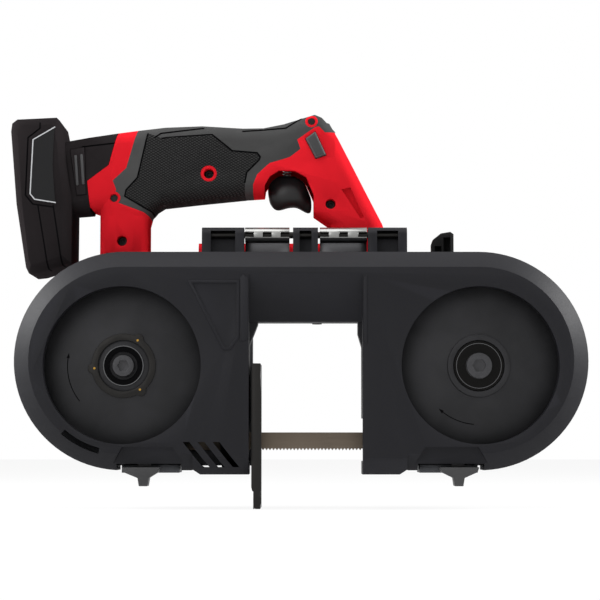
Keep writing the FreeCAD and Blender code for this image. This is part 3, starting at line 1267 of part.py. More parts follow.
stem_wires = [
    rounded_section(lambda z, y, x=x: Vector(x, y, z), -stem_half, stem_half, -stem_side, stem_side, 8.0)
    for x in (0.0, float(S.stem_length))
]
stem_form = in_stem(Part.makeLoft(stem_wires, True, True))
cell_radius = float(S.cell_radius)
stem_cells = []
cell_side = cell_radius + 0.5
for y, z in ((-cell_side, -6.15), (cell_side, -6.15), (0, -6.15 + cell_side * math.sqrt(3))):
    stem_cells.append(in_stem(Part.makeCylinder(cell_radius, float(S.cell_length), Vector(6, y, z),
                                                Vector(1, 0, 0))))
base_cells = []
for y in (-2 * cell_radius - 1, 0, 2 * cell_radius + 1):
    base_cells.append(in_stem(Part.makeCylinder(cell_radius, float(S.cell_length), Vector(-17, y, -34),
                                                Vector(0, 0, 1))))
all_cells = stem_cells[0].multiFuse(stem_cells[1:] + base_cells)
case_body = base_block.fuse(neck).cut(stem_form).cut(all_cells)
latch_near = polygon_solid(LATCH_OUTLINE, near_face - 1, 4)
latch_far = polygon_solid(LATCH_OUTLINE, far_face - 3, 4)
LATCH_STROKE = 2.5
for start in (near_face - 2, far_face - 3 - LATCH_STROKE):
    pocket = grown(LATCH_OUTLINE, gap).extrude(Vector(0, 5 + LATCH_STROKE, 0))
    pocket.translate(Vector(0, start, 0))
    case_body = case_body.cut(pocket)
node("battery_case", feature(case_body))
node("battery_stem", feature(stem_form.cut(all_cells)))
node("battery_cells", feature(Part.makeCompound(stem_cells + base_cells)))
node("battery_label", feature(polygon_solid(LABEL_OUTLINE, base_near - 0.5, 0.5)))
node("battery_latch_near", feature(latch_near))
node("battery_latch_far", feature(latch_far))

doc.recompute()
os.makedirs("parts", exist_ok=True)
for obj in doc.Objects:
    if "Invalid" in obj.State or "Error" in obj.State:
        raise RuntimeError("%s did not compute" % obj.Label)
for name, obj in NODES:
    if obj.Shape.isNull() or not obj.Shape.isValid() or not obj.Shape.Solids:
        raise RuntimeError("%s is not a sound solid" % name)
    obj.Shape.exportStep("parts/%s.step" % name)
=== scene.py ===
import json
import math

import bmesh
import bpy
from bpy.props import FloatProperty, FloatVectorProperty, IntProperty, PointerProperty
from bpy.types import Operator, Panel, PropertyGroup
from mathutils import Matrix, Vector


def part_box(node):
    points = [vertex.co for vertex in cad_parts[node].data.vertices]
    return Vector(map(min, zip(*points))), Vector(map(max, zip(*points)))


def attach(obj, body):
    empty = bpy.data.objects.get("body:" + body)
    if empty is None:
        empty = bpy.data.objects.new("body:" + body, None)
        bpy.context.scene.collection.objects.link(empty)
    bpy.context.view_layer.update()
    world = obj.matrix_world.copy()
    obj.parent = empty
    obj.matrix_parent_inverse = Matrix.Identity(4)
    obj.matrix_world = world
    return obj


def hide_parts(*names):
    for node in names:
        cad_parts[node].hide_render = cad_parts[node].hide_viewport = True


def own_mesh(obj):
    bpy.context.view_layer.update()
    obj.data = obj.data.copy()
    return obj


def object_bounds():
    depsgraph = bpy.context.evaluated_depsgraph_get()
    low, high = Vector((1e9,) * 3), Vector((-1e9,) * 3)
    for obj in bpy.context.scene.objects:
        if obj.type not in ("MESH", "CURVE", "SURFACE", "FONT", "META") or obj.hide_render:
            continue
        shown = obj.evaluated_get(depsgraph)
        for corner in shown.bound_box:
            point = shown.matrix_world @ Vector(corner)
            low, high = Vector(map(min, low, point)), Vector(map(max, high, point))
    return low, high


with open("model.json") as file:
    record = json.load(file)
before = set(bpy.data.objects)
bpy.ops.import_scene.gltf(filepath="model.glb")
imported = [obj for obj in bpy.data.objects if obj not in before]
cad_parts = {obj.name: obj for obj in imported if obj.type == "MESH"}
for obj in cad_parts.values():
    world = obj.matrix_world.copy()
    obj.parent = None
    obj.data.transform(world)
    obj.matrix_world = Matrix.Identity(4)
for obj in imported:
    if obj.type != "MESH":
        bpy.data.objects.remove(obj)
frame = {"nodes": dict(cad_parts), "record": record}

bl_info = {
    "name": "Portable Band Saw",
    "version": (1, 0, 0),
    "blender": (4, 5, 0),
    "location": "3D View > Sidebar > Band Saw",
    "description": "Finishes and detail pieces for a battery portable band saw on its CAD frame",
    "category": "Object",
}

NODES = frame["nodes"]
BODIES = frame["record"]["behaviour"]["bodies"]
BODY_OF = {node: body for body, nodes in BODIES.items() for node in nodes}
SLOT_OF = {entry["node"]: entry["material_slot"] for entry in frame["record"]["subparts"]}
CAD_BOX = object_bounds()
MM = 0.001
SHARP_EDGE = math.radians(35)  # faces that meet at more keep a sharp edge
EASED_EDGE = math.radians(32)  # edges that turn by more are rounded
FLAT_FACE = math.radians(0.6)  # faces that meet at less become one
CIRCLE_POINTS = 32


def middle(node):
    """The middle of a CAD node's box, in metres."""
    low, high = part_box(node)
    return Vector([(a + b) / 2 for a, b in zip(low, high)])


DRIVE_WHEEL = middle("drive_tyre")
IDLER_WHEEL = middle("idler_tyre")


class Strand:
    """One output of a shader tree. Arithmetic on strands and numbers adds Math nodes."""

    def __init__(self, finish, socket):
        self.finish = finish
        self.socket = socket

    def calc(self, operation, *values):
        return self.finish.node("ShaderNodeMath", {"operation": operation}, dict(enumerate(values)))

    def __add__(self, other):
        return self.calc("ADD", self, other)

    def __sub__(self, other):
        return self.calc("SUBTRACT", self, other)

    def __rsub__(self, other):
        return self.calc("SUBTRACT", other, self)

    def __mul__(self, other):
        return self.calc("MULTIPLY", self, other)

    __radd__ = __add__

    def sine(self):
        return self.calc("SINE", self)

    def power(self, other):
        return self.calc("POWER", self, other)

    def step(self, low, high):
        """0 below low, 1 above high, smooth between them."""
        return self.finish.node(
            "ShaderNodeMapRange", {"interpolation_type": "SMOOTHSTEP"},
            {"Value": self, "From Min": low, "From Max": high},
        )


class Finish:
    """A material and its node tree."""

    def __init__(self, name, **plain):
        self.material = bpy.data.materials.new(name)
        self.material.use_nodes = True
        self.tree = self.material.node_tree
        self.shader = self.tree.nodes["Principled BSDF"]
        for socket, value in plain.items():
            self.set({"shine": "Specular IOR Level"}.get(socket, socket.title()), value)

    def node(self, kind, settings=None, sockets=None, output=0):
        made = self.tree.nodes.new(kind)
        for key, value in (settings or {}).items():
            setattr(made, key, value)
        for key, value in (sockets or {}).items():
            self.feed(made.inputs[key], value)
        return Strand(self, made.outputs[output])

    def feed(self, socket, value):
        if isinstance(value, Strand):
            self.tree.links.new(value.socket, socket)
        elif socket.type == "RGBA" and len(value) == 3:
            socket.default_value = (*value, 1.0)
        else:
            socket.default_value = value

    def set(self, socket, value):
        self.feed(self.shader.inputs[socket], value)

    def place(self):
        """Object coordinates."""
        return self.node("ShaderNodeTexCoord", output=3)

    def moved(self, vector, location=(0, 0, 0), rotation=(0, 0, 0), scale=(1, 1, 1)):
        return self.node("ShaderNodeMapping", {}, {
            "Vector": vector, "Location": location, "Rotation": rotation, "Scale": scale,
        })

    def noise(self, vector, scale, detail):
        return self.node("ShaderNodeTexNoise", {}, {
            "Vector": vector, "Scale": scale, "Detail": detail, "Roughness": NOISE_ROUGHNESS,
        })

    def cells(self, vector, scale):
        return self.node("ShaderNodeTexVoronoi", {"feature": "F1"}, {"Vector": vector, "Scale": scale})

    def parts(self, vector):
        made = self.tree.nodes.new("ShaderNodeSeparateXYZ")
        self.feed(made.inputs[0], vector)
        return [Strand(self, out) for out in made.outputs]

    def blend(self, share, first, second):
        sockets = {0: share, 6: first, 7: second}
        return self.node("ShaderNodeMix", {"data_type": "RGBA"}, sockets, output=2)

    def reach(self, centre):
        """Distance from an axle that runs along Y through a centre."""
        x, _, z = self.parts(self.moved(self.place(), location=(-centre.x, 0.0, -centre.z)))
        return (x * x + z * z).power(0.5)

    def bump(self, height, depth, strength):
        """Fine surface grain, its depth in metres."""
        sockets = {"Height": height, "Distance": depth, "Strength": strength}
        self.set("Normal", self.node("ShaderNodeBump", {}, sockets))


def shade(colour, amount):
    """A colour made darker or paler by a factor."""
    return tuple(max(0.0, min(1.0, c * amount)) for c in colour)


def edge_light(finish, colour, lift):
    """Base colour with slightly paler ridges where the surface turns sharply: a painted highlight along
    the edges.
    """
    pointiness = finish.node("ShaderNodeNewGeometry", output=7)
    # painted highlight: sharp ridges are painted paler, as edges that catch the light
    return finish.blend(pointiness.step(0.53, 0.62), colour, lift)


def moulded(name, colour, roughness, grain=0.00035, depth=0.00004, shine=0.2):
    """Spark-textured moulded plastic with faint mottling; grain and its depth in metres."""
    finish = Finish(name, shine=shine)
    at = finish.place()
    cloud = finish.noise(at, scale=28.0, detail=4.0)
    speck = finish.noise(at, scale=1.0 / grain, detail=2.0)
    mottle = finish.blend(cloud.step(0.3, 0.7), shade(colour, 0.9), shade(colour, 1.1))
    # the sharp edges get a painted highlight
    finish.set("Base Color", edge_light(finish, mottle, shade(colour, 1.5)))
    finish.set("Roughness", roughness - 0.05 + cloud * 0.1 + speck * 0.06)
    finish.bump(speck, depth=depth, strength=0.6)
    return finish.material


def guard_plastic(name, colour):
    """Charcoal guard moulding: fine spark texture, flow mottling and a little dust in it."""
    finish = Finish(name, shine=0.2)
    at = finish.place()
    cloud = finish.noise(at, scale=14.0, detail=5.0)
    speck = finish.noise(at, scale=3200.0, detail=2.0)
    pits = finish.cells(at, 1900.0)
    tone = finish.blend(cloud.step(0.25, 0.75), shade(colour, 0.93), shade(colour, 1.08))
    tone = finish.blend(speck.step(0.62, 0.8) * 0.35, tone, shade(colour, 1.9))
    # the sharp edges get a painted highlight
    finish.set("Base Color", edge_light(finish, tone, shade(colour, 1.45)))
    finish.set("Roughness", 0.5 + cloud * 0.1 + pits * 0.08)
    finish.bump(speck + pits * 0.6, depth=0.00005, strength=0.55)
    return finish.material


def red_plastic(name, colour):
    """Satin red shell with a fine moulded grain."""
    finish = Finish(name, shine=0.0)
    at = finish.place()
    cloud = finish.noise(at, scale=22.0, detail=4.0)
    grain = finish.noise(at, scale=2600.0, detail=2.0)
    tone = finish.blend(cloud.step(0.3, 0.7), shade(colour, 0.92), shade(colour, 1.06))
    finish.set("Base Color", tone)
    finish.set("Roughness", 0.36 + cloud * 0.08 + grain * 0.08)
    finish.bump(grain, depth=0.00003, strength=0.4)
    return finish.material


def grip_rubber(name, colour, pitch):
    """Soft overmould: smooth border grain, its colour raised as a painted sheen, with small staggered
    nubs where a panel is textured, the nubs painted paler as highlights and the gaps between them darker
    as shade.
    """
    finish = Finish(name, shine=0.0)
    at = finish.place()
    cloud = finish.noise(at, scale=30.0, detail=4.0)
    grain = finish.noise(at, scale=2400.0, detail=2.0)
    height = grain * 0.5
    if pitch:
        bend = finish.noise(at, scale=90.0, detail=2.0)
        x, y, z = finish.parts(finish.moved(at, rotation=(0.0, -0.06, 0.0)))
        across = (x + y * 0.4) * (math.pi / (pitch * 1.65)) + bend * 1.2
        along = z * (math.pi / pitch)
        lattice = (across + along).sine() * (across - along).sine()
        nub = (lattice * lattice).step(0.04, 0.4)
        height = nub + grain * 0.2
        # painted light: nub tops paler as highlights, the gaps between them darker as shade
        colour = finish.blend(nub, shade(colour, 0.6), shade(colour, 1.45))
        finish.set("Base Color", colour)
        finish.set("Roughness", 0.78 - nub * 0.16)
        finish.bump(height, depth=0.0003, strength=0.9)
    else:
        # painted sheen: the smooth rubber is painted about twice as pale as the textured panel
        tone = finish.blend(cloud.step(0.3, 0.7), shade(colour, 2.0), shade(colour, 2.4))
        finish.set("Base Color", tone)
        finish.set("Roughness", 0.55 + cloud * 0.12)
        finish.bump(height, depth=0.00005, strength=0.5)
    return finish.material


def brushed(name, colour, roughness, along=(1, 0, 0)):
    """Metal with drawn streaks along one direction."""
    finish = Finish(name, metallic=1.0)
    at = finish.place()
    stretch = tuple(40.0 if a else 2200.0 for a in along)
    streak = finish.noise(finish.moved(at, scale=stretch), scale=1.0, detail=3.0)
    cloud = finish.noise(at, scale=60.0, detail=3.0)
    finish.set("Base Color", finish.blend(streak, shade(colour, 0.8), shade(colour, 1.15)))
    finish.set("Roughness", roughness + streak * 0.14 + cloud * 0.1 - 0.1)
    finish.bump(streak, depth=0.00002, strength=0.5)
    return finish.material


def turned_metal(name, colour, roughness, centre):
    """Coated wheel metal with faint concentric tool marks about an axle along Y."""
    finish = Finish(name, metallic=0.6)
    at = finish.place()
    ring = (finish.reach(centre) * (2 * math.pi * MARKS_PER_METRE)).sine()
    cloud = finish.noise(at, scale=45.0, detail=4.0)
    speck = finish.noise(at, scale=2200.0, detail=2.0)
    tone = finish.blend(cloud.step(0.3, 0.7), shade(colour, 0.85), shade(colour, 1.2))
    finish.set("Base Color", tone)
    finish.set("Roughness", roughness + cloud * 0.12 + speck * 0.06)
    finish.bump(ring * 0.25 + speck, depth=0.00003, strength=0.45)
    return finish.material


def cast_metal(name, colour, roughness):
    """Die-cast alloy with a fine orange peel."""
    finish = Finish(name, metallic=0.85)
    at = finish.place()
    peel = finish.noise(at, scale=900.0, detail=3.0)
    cloud = finish.noise(at, scale=25.0, detail=4.0)
    finish.set("Base Color", finish.blend(cloud, shade(colour, 0.8), shade(colour, 1.2)))
    finish.set("Roughness", roughness + peel * 0.15)
    finish.bump(peel, depth=0.00006, strength=0.5)
    return finish.material


def trigger_plastic(name, colour, low, high):
    """Glossy trigger moulding, painted paler on top and darker below as lit from above, and dull on its
    underside.
    """
    finish = Finish(name, shine=0.4)
    at = finish.place()
    grain = finish.noise(at, scale=2000.0, detail=2.0)
    up = (finish.parts(at)[2] - low.z) * (1.0 / (high.z - low.z))
    # painted light: the lower part darker and the top much paler, as lit from above
    finish.set("Base Color", finish.blend(up.step(0.35, 0.95), shade(colour, 0.8), shade(colour, 4.0)))
    finish.set("Roughness", 0.95 - up.step(0.05, 0.4) * 0.62 + grain * 0.05)
    finish.bump(grain, depth=0.00002, strength=0.5)
    return finish.material


def hinge_metal(name, shaded_leaf, lit_barrel, height):
    """Rolled hinge: a barrel painted bright as a highlight above a leaf painted darker as shade."""
    finish = Finish(name, metallic=1.0)
    at = finish.place()
    streak = finish.noise(finish.moved(at, scale=(40.0, 2200.0, 2200.0)), scale=1.0, detail=3.0)
    # painted light: above the height the barrel takes the painted highlight, below it the leaf takes the
    # painted shade
    tone = finish.blend(finish.parts(at)[2].step(height - 0.5 * MM, height), shaded_leaf, lit_barrel)
    finish.set("Base Color", finish.blend(streak * 0.35, tone, shade(shaded_leaf, 0.8)))
    finish.set("Roughness", 0.24 + streak * 0.14)
    finish.bump(streak, depth=0.00002, strength=0.5)
    return finish.material


def hub_metal(name, head, washer, centre):
    """A paler socket head on a glossy black washer about an axle along Y."""
    finish = Finish(name, metallic=0.5, shine=0.1)
    at = finish.place()
    outside = finish.reach(centre).step(*HEAD_EDGE)
    cloud = finish.noise(at, scale=300.0, detail=3.0)
    finish.set("Base Color", finish.blend(outside, finish.blend(cloud, shade(head, 0.7), head), washer))
    finish.set("Roughness", 0.34 + cloud * 0.1 - outside * 0.16)
    finish.bump(cloud, depth=0.00003, strength=0.4)
    return finish.material


def blade_metal(name, colour, centre, twist):
    """Tempered blade steel: rolling streaks, heat tint and a bright ground tooth edge."""
    finish = Finish(name, metallic=1.0)
    at = finish.place()
    streak = finish.noise(finish.moved(at, scale=(60.0, 1500.0, 1500.0)), scale=1.0, detail=4.0)
    cloud = finish.noise(at, scale=70.0, detail=4.0)
    _, y, z = finish.parts(at)
    across = (y - centre.y) * math.cos(twist) + (z - centre.z) * math.sin(twist)
    edge = 1.0 - across.step(*TOOTH_EDGE)
    tone = finish.blend(streak * 0.6 + cloud * 0.4, shade(colour, 0.7), shade(colour, 1.3))
    finish.set("Base Color", finish.blend(edge, tone, shade(colour, 1.25)))
    finish.set("Roughness", 0.32 + streak * 0.2)
    finish.bump(streak, depth=0.00002, strength=0.4)
    return finish.material


def circuit_board(name, colour):
    """Lacquered board with paler tracks."""
    finish = Finish(name)
    at = finish.place()
    track = finish.cells(at, 320.0)
    finish.set("Base Color", finish.blend(track.step(0.3, 0.5), shade(colour, 1.4), colour))
    finish.set("Roughness", 0.4 + track * 0.2)
    return finish.material


def windings(name, colour):
    """Copper turns between dark laminations, stacked along Y."""
    finish = Finish(name, metallic=0.9)
    at = finish.place()
    stripe = (finish.parts(at)[1] * 9000.0).sine()
    cloud = finish.noise(at, scale=200.0, detail=2.0)
    finish.set("Base Color", finish.blend(stripe.step(-0.5, 0.5), shade(colour, 0.5), colour))
    finish.set("Roughness", 0.4 + cloud * 0.2)
    finish.bump(stripe, depth=0.0001, strength=0.5)
    return finish.material


def link(mesh, name):
    """A new object in the scene."""
    made = bpy.data.objects.new(name, mesh)
    bpy.context.scene.collection.objects.link(made)
    return made


def baked(made):
    """The object's mesh with its modifiers worked in and taken off."""
    evaluated = made.evaluated_get(bpy.context.evaluated_depsgraph_get())
    mesh = bpy.data.meshes.new_from_object(evaluated)
    made.modifiers.clear()
    made.data = mesh
    return made


def smoothed(made):
    """Smooth shading that keeps the sharp edges."""
    made.data.shade_smooth()
    made.data.set_sharp_from_angle(angle=SHARP_EDGE)
    return made


def settle(made, body, slot, finish, *nodes):
    """Paints a finished piece and hands it to its CAD body."""
    made.data.materials.clear()
    made.data.materials.append(finish)
    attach(made, body)
    if nodes:
        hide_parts(*nodes)
    return made


def merged_copy(node, name):
    """A copy of a CAD node's mesh with its seams joined and its flat faces whole."""
    form = bmesh.new()
    form.from_mesh(NODES[node].data)
    bmesh.ops.remove_doubles(form, verts=form.verts, dist=1e-6)
    bmesh.ops.dissolve_limit(
        form, angle_limit=FLAT_FACE, verts=form.verts, edges=form.edges,
    )
    mesh = bpy.data.meshes.new(name)
    form.to_mesh(mesh)
    form.free()
    return link(mesh, name)


def dressed(node, width, finish, segments=2):
    """The CAD node with its sharp edges eased by a width in millimetres."""
    made = smoothed(eased(merged_copy(node, node + "_skin"), width, segments))
    return settle(made, BODY_OF[node], SLOT_OF[node], finish, node)


def joined(first, second):
    """Two CAD nodes of one moulding that touch along a plane, as one closed skin."""
    made = merged_copy(first, first + "_skin")
    other = merged_copy(second, second + "_copy")
    union = made.modifiers.new("Join", "BOOLEAN")
    union.operation = "UNION"
    union.solver = "EXACT"
    union.object = other
    baked(made)
    bpy.data.objects.remove(other)
    return made


def fill_box(made, low, high):
    """Stretches a relaxed form back to the box it had before."""
    points = [v.co for v in made.data.vertices]
    for axis in range(3):
        least = min(p[axis] for p in points)
        share = (high[axis] - low[axis]) / (max(p[axis] for p in points) - least)
        for p in points:
            p[axis] = low[axis] + (p[axis] - least) * share


def crown(made, low, high, share):
    """Draws the sides of a form in towards its outline, so that both side faces swell at the middle."""
    middle, half = (low + high) / 2, (high - low) / 2
    for vertex in made.data.vertices:
        away = vertex.co - middle
        edge = min(1.0, (away.x / half.x) ** 2 + (away.z / half.z) ** 2)
        vertex.co.y = middle.y + away.y * (1.0 - share * edge)


def rounded(node, grid, passes, share, finish):
    """A CAD node worn to a soft form: remade on a grid in millimetres, relaxed and crowned."""
    made = merged_copy(node, node + "_skin")
    remake = made.modifiers.new("Remake", "REMESH")
    remake.mode = "VOXEL"
    remake.voxel_size = grid * MM
    relax = made.modifiers.new("Relax", "SMOOTH")
    relax.iterations = passes
    relax.factor = 0.5
    baked(made)
    fill_box(made, *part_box(node))
    crown(made, *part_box(node), share)
    made.data.shade_smooth()
    return settle(made, BODY_OF[node], SLOT_OF[node], finish, node)


def eased(made, width, segments=2):
    """A piece with all its sharp edges rounded by a width in millimetres."""
    ease = made.modifiers.new("Ease", "BEVEL")
    ease.width = width * MM
    ease.segments = segments
    ease.limit_method = "ANGLE"
    ease.angle_limit = EASED_EDGE
    return baked(made)


def painted(node, finish):
    """A CAD node shown as it is, in its finish."""
    made = NODES[node]
    made.data.materials.clear()
    made.data.materials.append(finish)
    return made


def squeezed(node):
    """A coil spring along X, copied whole with smooth shading and handed to its CAD body in its slot's
    finish.
    """
    made = merged_copy(node, node + "_coil")
    made.data.shade_smooth()
    settle(made, BODY_OF[node], SLOT_OF[node], finish_of(SLOT_OF[node]), node)
    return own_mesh(made)


def slab(name, outline, low, high):
    """A closed prism: an outline of (x, z) points in millimetres between two depths along Y."""
    form = bmesh.new()
    front = [form.verts.new((x * MM, low * MM, z * MM)) for x, z in outline]
    face = form.faces.new(front)
    moved = bmesh.ops.extrude_face_region(form, geom=[face])["geom"]
    corners = [v for v in moved if isinstance(v, bmesh.types.BMVert)]
    bmesh.ops.translate(form, verts=corners, vec=(0, (high - low) * MM, 0))
    bmesh.ops.recalc_face_normals(form, faces=form.faces)
    mesh = bpy.data.meshes.new(name)
    form.to_mesh(mesh)
    form.free()
    return link(mesh, name)


def strip(points, width, closed=False):
    """The outline of a band of constant width along a line of (x, z) points, mitred at its corners."""
    left, right = [], []
    count = len(points)
    for i, point in enumerate(points):
        here = Vector(point)
        before = Vector(points[i - 1]) if i or closed else None
        after = Vector(points[(i + 1) % count]) if i < count - 1 or closed else None
        legs = [leg for leg in ((before, here), (here, after)) if None not in leg]
        ways = [(b - a).normalized() for a, b in legs]
        run = sum(ways, Vector((0, 0))).normalized()
        side = Vector((-run.y, run.x))
        stretch = width / 2 / max(0.4, side.dot(Vector((-ways[0].y, ways[0].x))))
        left.append(here + side * stretch)
        right.append(here - side * stretch)
    return left, right


def band(name, points, width, low, high):
    """A raised line: boxes mitred together along (x, z) points, between two depths along Y."""
    left, right = strip(points, width)
    return slab(name, [tuple(p) for p in left + right[::-1]], low, high)


def loop(name, points, width, low, high):
    """A closed raised line round a polygon of (x, z) points."""
    left, right = strip(points, width, closed=True)
    form = bmesh.new()
    rings = [
        [form.verts.new((p.x * MM, y * MM, p.y * MM)) for p in side]
        for side, y in ((left, low), (right, low), (right, high), (left, high))
    ]
    count = len(points)
    for a, b in zip(rings, rings[1:] + rings[:1]):
        for i in range(count):
            j = (i + 1) % count
            form.faces.new((a[i], a[j], b[j], b[i]))
    bmesh.ops.recalc_face_normals(form, faces=form.faces)
    mesh = bpy.data.meshes.new(name)
    form.to_mesh(mesh)
    form.free()
    return link(mesh, name)


def lifted(name, source, outline, low, high, rise):
    """The part of a skin that lies inside a prism, lifted off the skin along its normals."""
    made = link(source.data.copy(), name)
    tool = slab(name + "_tool", outline, low, high)
    keep = made.modifiers.new("Keep", "BOOLEAN")
    keep.operation = "INTERSECT"
    keep.solver = "EXACT"
    keep.object = tool
    baked(made)
    bpy.data.objects.remove(tool)
    raise_up = made.modifiers.new("Rise", "DISPLACE")
    raise_up.strength = rise * MM
    raise_up.mid_level = 0.0
    return baked(made)


def row_group():
    """A node group that repeats a small bar along a straight line."""
    group = bpy.data.node_groups.new("Row of ridges", "GeometryNodeTree")
    inputs = {}
    for label, socket in (
        ("Count", "NodeSocketInt"), ("Start", "NodeSocketVector"), ("Step", "NodeSocketVector"),
        ("Size", "NodeSocketVector"), ("Turn", "NodeSocketVector"), ("Finish", "NodeSocketMaterial"),
    ):
        inputs[label] = group.interface.new_socket(label, in_out="INPUT", socket_type=socket).identifier
    group.interface.new_socket("Geometry", in_out="OUTPUT", socket_type="NodeSocketGeometry")
    nodes, links = group.nodes, group.links
    given = nodes.new("NodeGroupInput")
    line = nodes.new("GeometryNodeMeshLine")
    line.mode = "OFFSET"
    links.new(given.outputs["Count"], line.inputs["Count"])
    links.new(given.outputs["Start"], line.inputs["Start Location"])
    links.new(given.outputs["Step"], line.inputs["Offset"])
    form = nodes.new("GeometryNodeMeshCube")
    instances = nodes.new("GeometryNodeInstanceOnPoints")
    links.new(line.outputs["Mesh"], instances.inputs["Points"])
    links.new(form.outputs["Mesh"], instances.inputs["Instance"])
    links.new(given.outputs["Size"], instances.inputs["Scale"])
    links.new(given.outputs["Turn"], instances.inputs["Rotation"])
    realize = nodes.new("GeometryNodeRealizeInstances")
    links.new(instances.outputs["Instances"], realize.inputs["Geometry"])
    paint = nodes.new("GeometryNodeSetMaterial")
    links.new(realize.outputs["Geometry"], paint.inputs["Geometry"])
    links.new(given.outputs["Finish"], paint.inputs["Material"])
    out = nodes.new("NodeGroupOutput")
    links.new(paint.outputs["Geometry"], out.inputs["Geometry"])
    return group, inputs


def row(name, finish, count, start, step, size, turn, ease):
    """A row of ridges as one mesh; places and sizes in millimetres, turns in radians."""
    group, inputs = row_group()
    made = link(bpy.data.meshes.new(name), name)
    repeat = made.modifiers.new("Row", "NODES")
    repeat.node_group = group
    for label, value in (
        ("Count", count), ("Start", [v * MM for v in start]), ("Step", [v * MM for v in step]),
        ("Size", [v * MM for v in size]), ("Turn", turn), ("Finish", finish),
    ):
        repeat[inputs[label]] = value
    baked(made)
    return smoothed(eased(made, ease))


def tint(code):
    """Linear colour from a 24-bit screen colour."""
    values = [(code >> shift & 255) / 255 for shift in (16, 8, 0)]
    return tuple(v / 12.92 if v <= 0.04045 else ((v + 0.055) / 1.055) ** 2.4 for v in values)


def colour(label, note, code):
    """A setting for a colour, from a 24-bit screen colour."""
    return FloatVectorProperty(
        name=label, description=note, subtype="COLOR", size=3, min=0.0, max=1.0, default=tint(code),
    )


def length(label, note, value):
    """A setting in metres, from a value in millimetres."""
    return FloatProperty(
        name=label, description=note, default=value * MM, min=0.0, unit="LENGTH", precision=5,
    )


def power(label, note, value):
    """A setting for a lamp, in watts."""
    return FloatProperty(name=label, description=note, default=value, min=0.0)


class BandSawColours(PropertyGroup):
    guard: colour("Guard", "Charcoal guard moulding", 0x151519)
    shell: colour("Shell", "Red handle halves", 0xD01E28)
    rubber: colour("Rubber", "Grip overmould", 0x2E2E2E)
    trigger: colour("Trigger", "Trigger and tension lever", 0x0E0E0F)
    button: colour("Button", "Lock button and latches", 0x3C3C3D)
    battery: colour("Battery", "Battery case and motor housing", 0x242122)
    label: colour("Label", "Bare battery label field", 0x0E0E0F)
    # silver, darkened, is also the colour of the painted highlight rings on the hubs
    silver: colour("Silver", "Outline round the battery label", 0xA9AAAC)
    casting: colour("Casting", "Main frame and gear case", 0x4C4D50)
    wheel: colour("Wheel", "Coated wheel discs", 0x252527)
    tyre: colour("Tyre", "Wheel tyres", 0x202020)
    steel: colour("Steel", "Plain steel parts", 0xA8A8A8)
    # Hinge leaf and barrel are one steel: the leaf is painted darker as shade, the barrel paler as a
    # highlight
    hinge: colour("Hinge", "Hinge leaf", 0x68686A)
    lit_barrel: colour("Hinge barrel", "Bright barrel of the hinge", 0x969694)
    head: colour("Bolt heads", "Socket heads on the wheels' axles", 0x48484A)
    oxide: colour("Black oxide", "Blackened fasteners and clips", 0x262524)
    blade: colour("Blade", "Tempered blade steel", 0x4A433B)
    gear: colour("Gear", "Hardened gears and shafts", 0x8A8A8C)
    brass: colour("Brass", "Marks on the drive hub", 0xA8823C)
    copper: colour("Copper", "Motor windings", 0xB06A3C)
    board: colour("Board", "Control board", 0x1E5A30)
    cell: colour("Cell wrap", "Sleeves of the battery cells", 0x2F6FA8)


class BandSawSizes(PropertyGroup):
    guard_ease: length("Guard edge", "Rounding of the guard's edges", 0.5)
    shell_ease: length("Shell edge", "Rounding of the handle halves", 0.4)
    small_ease: length("Small edge", "Rounding of small moulded and metal parts", 0.25)
    grip_rise: length("Grip texture rise", "How far the textured panels stand off the grip", 0.15)
    grip_pitch: length("Grip texture pitch", "Distance between the rows of nubs", 1.7)
    ridge_count: IntProperty(name="Latch ridges", description="Ridges on each latch", default=2, min=1)


# Outlines in (x, z) millimetres on the handle's side and on the guard's face
GRIP_PANEL = [
    (-83.5, 229.7), (-79.1, 230.3), (-51.9, 232.2), (-39.1, 221.9), (-23.5, 220.6), (-21.6, 218.1),
    (-22.3, 216.2), (-30.0, 208.4), (-31.3, 201.9), (-31.5, 172.5), (-88.0, 172.5), (-88.5, 183.5),
    (-94.5, 186.4), (-106.3, 193.3), (-105.5, 197.2), (-98.4, 205.0), (-92.0, 233.2),
]
GRIP_LINES = [
    GRIP_PANEL[:9], GRIP_PANEL[11:], [(-32.8, 234.5), (-5.6, 236.4), (4.6, 243.3)],
    [(-88.0, 230.0), (-84.0, 233.0), (-57.0, 236.5)],
]
GUARD_PANEL = [(-62.7, 136.2), (-34.0, 136.2), (-34.0, 102.7), (-38.9, 95.9), (-42.3, 95.9)]
GUARD_FLANGES = [
    [(-32.6, 138.6), (-30.8, 140.6), (-28.0, 138.0), (-28.0, 102.4), (-29.6, 100.4), (-32.6, 100.4)],
    [(41.6, 138.0), (43.6, 140.6), (43.6, 98.6), (41.6, 101.0)],
]
BATTERY_LABEL = [(-149.0, 188.5), (-162.2, 190.6), (-165.0, 194.0), (-163.5, 228.0), (-149.8, 236.0)]
BATTERY_LINES = [
    [(-158.9, 239.0), (-158.9, 235.2), (-166.3, 229.3),
     (-167.6, 193.3), (-162.9, 187.6), (-150.3, 185.8)],
    [(-159.8, 187.0), (-152.6, 144.3)], [(-150.3, 187.0), (-144.3, 148.3)],
]
STEM_LINES = [[(-133.3, 224.4), (-112.6, 226.8)]]
HANDLE_DIMPLES = [(-113.0, 192.2), (10.5, 240.7)]

# Widths, roundings, rises and (front, back) depths along Y, in millimetres
TRIM_EASE = 0.4
TRIM_SINK = 0.05  # how far rings and marks reach into their face
ARROW_RISE = 0.15
RING_RISE = 0.12
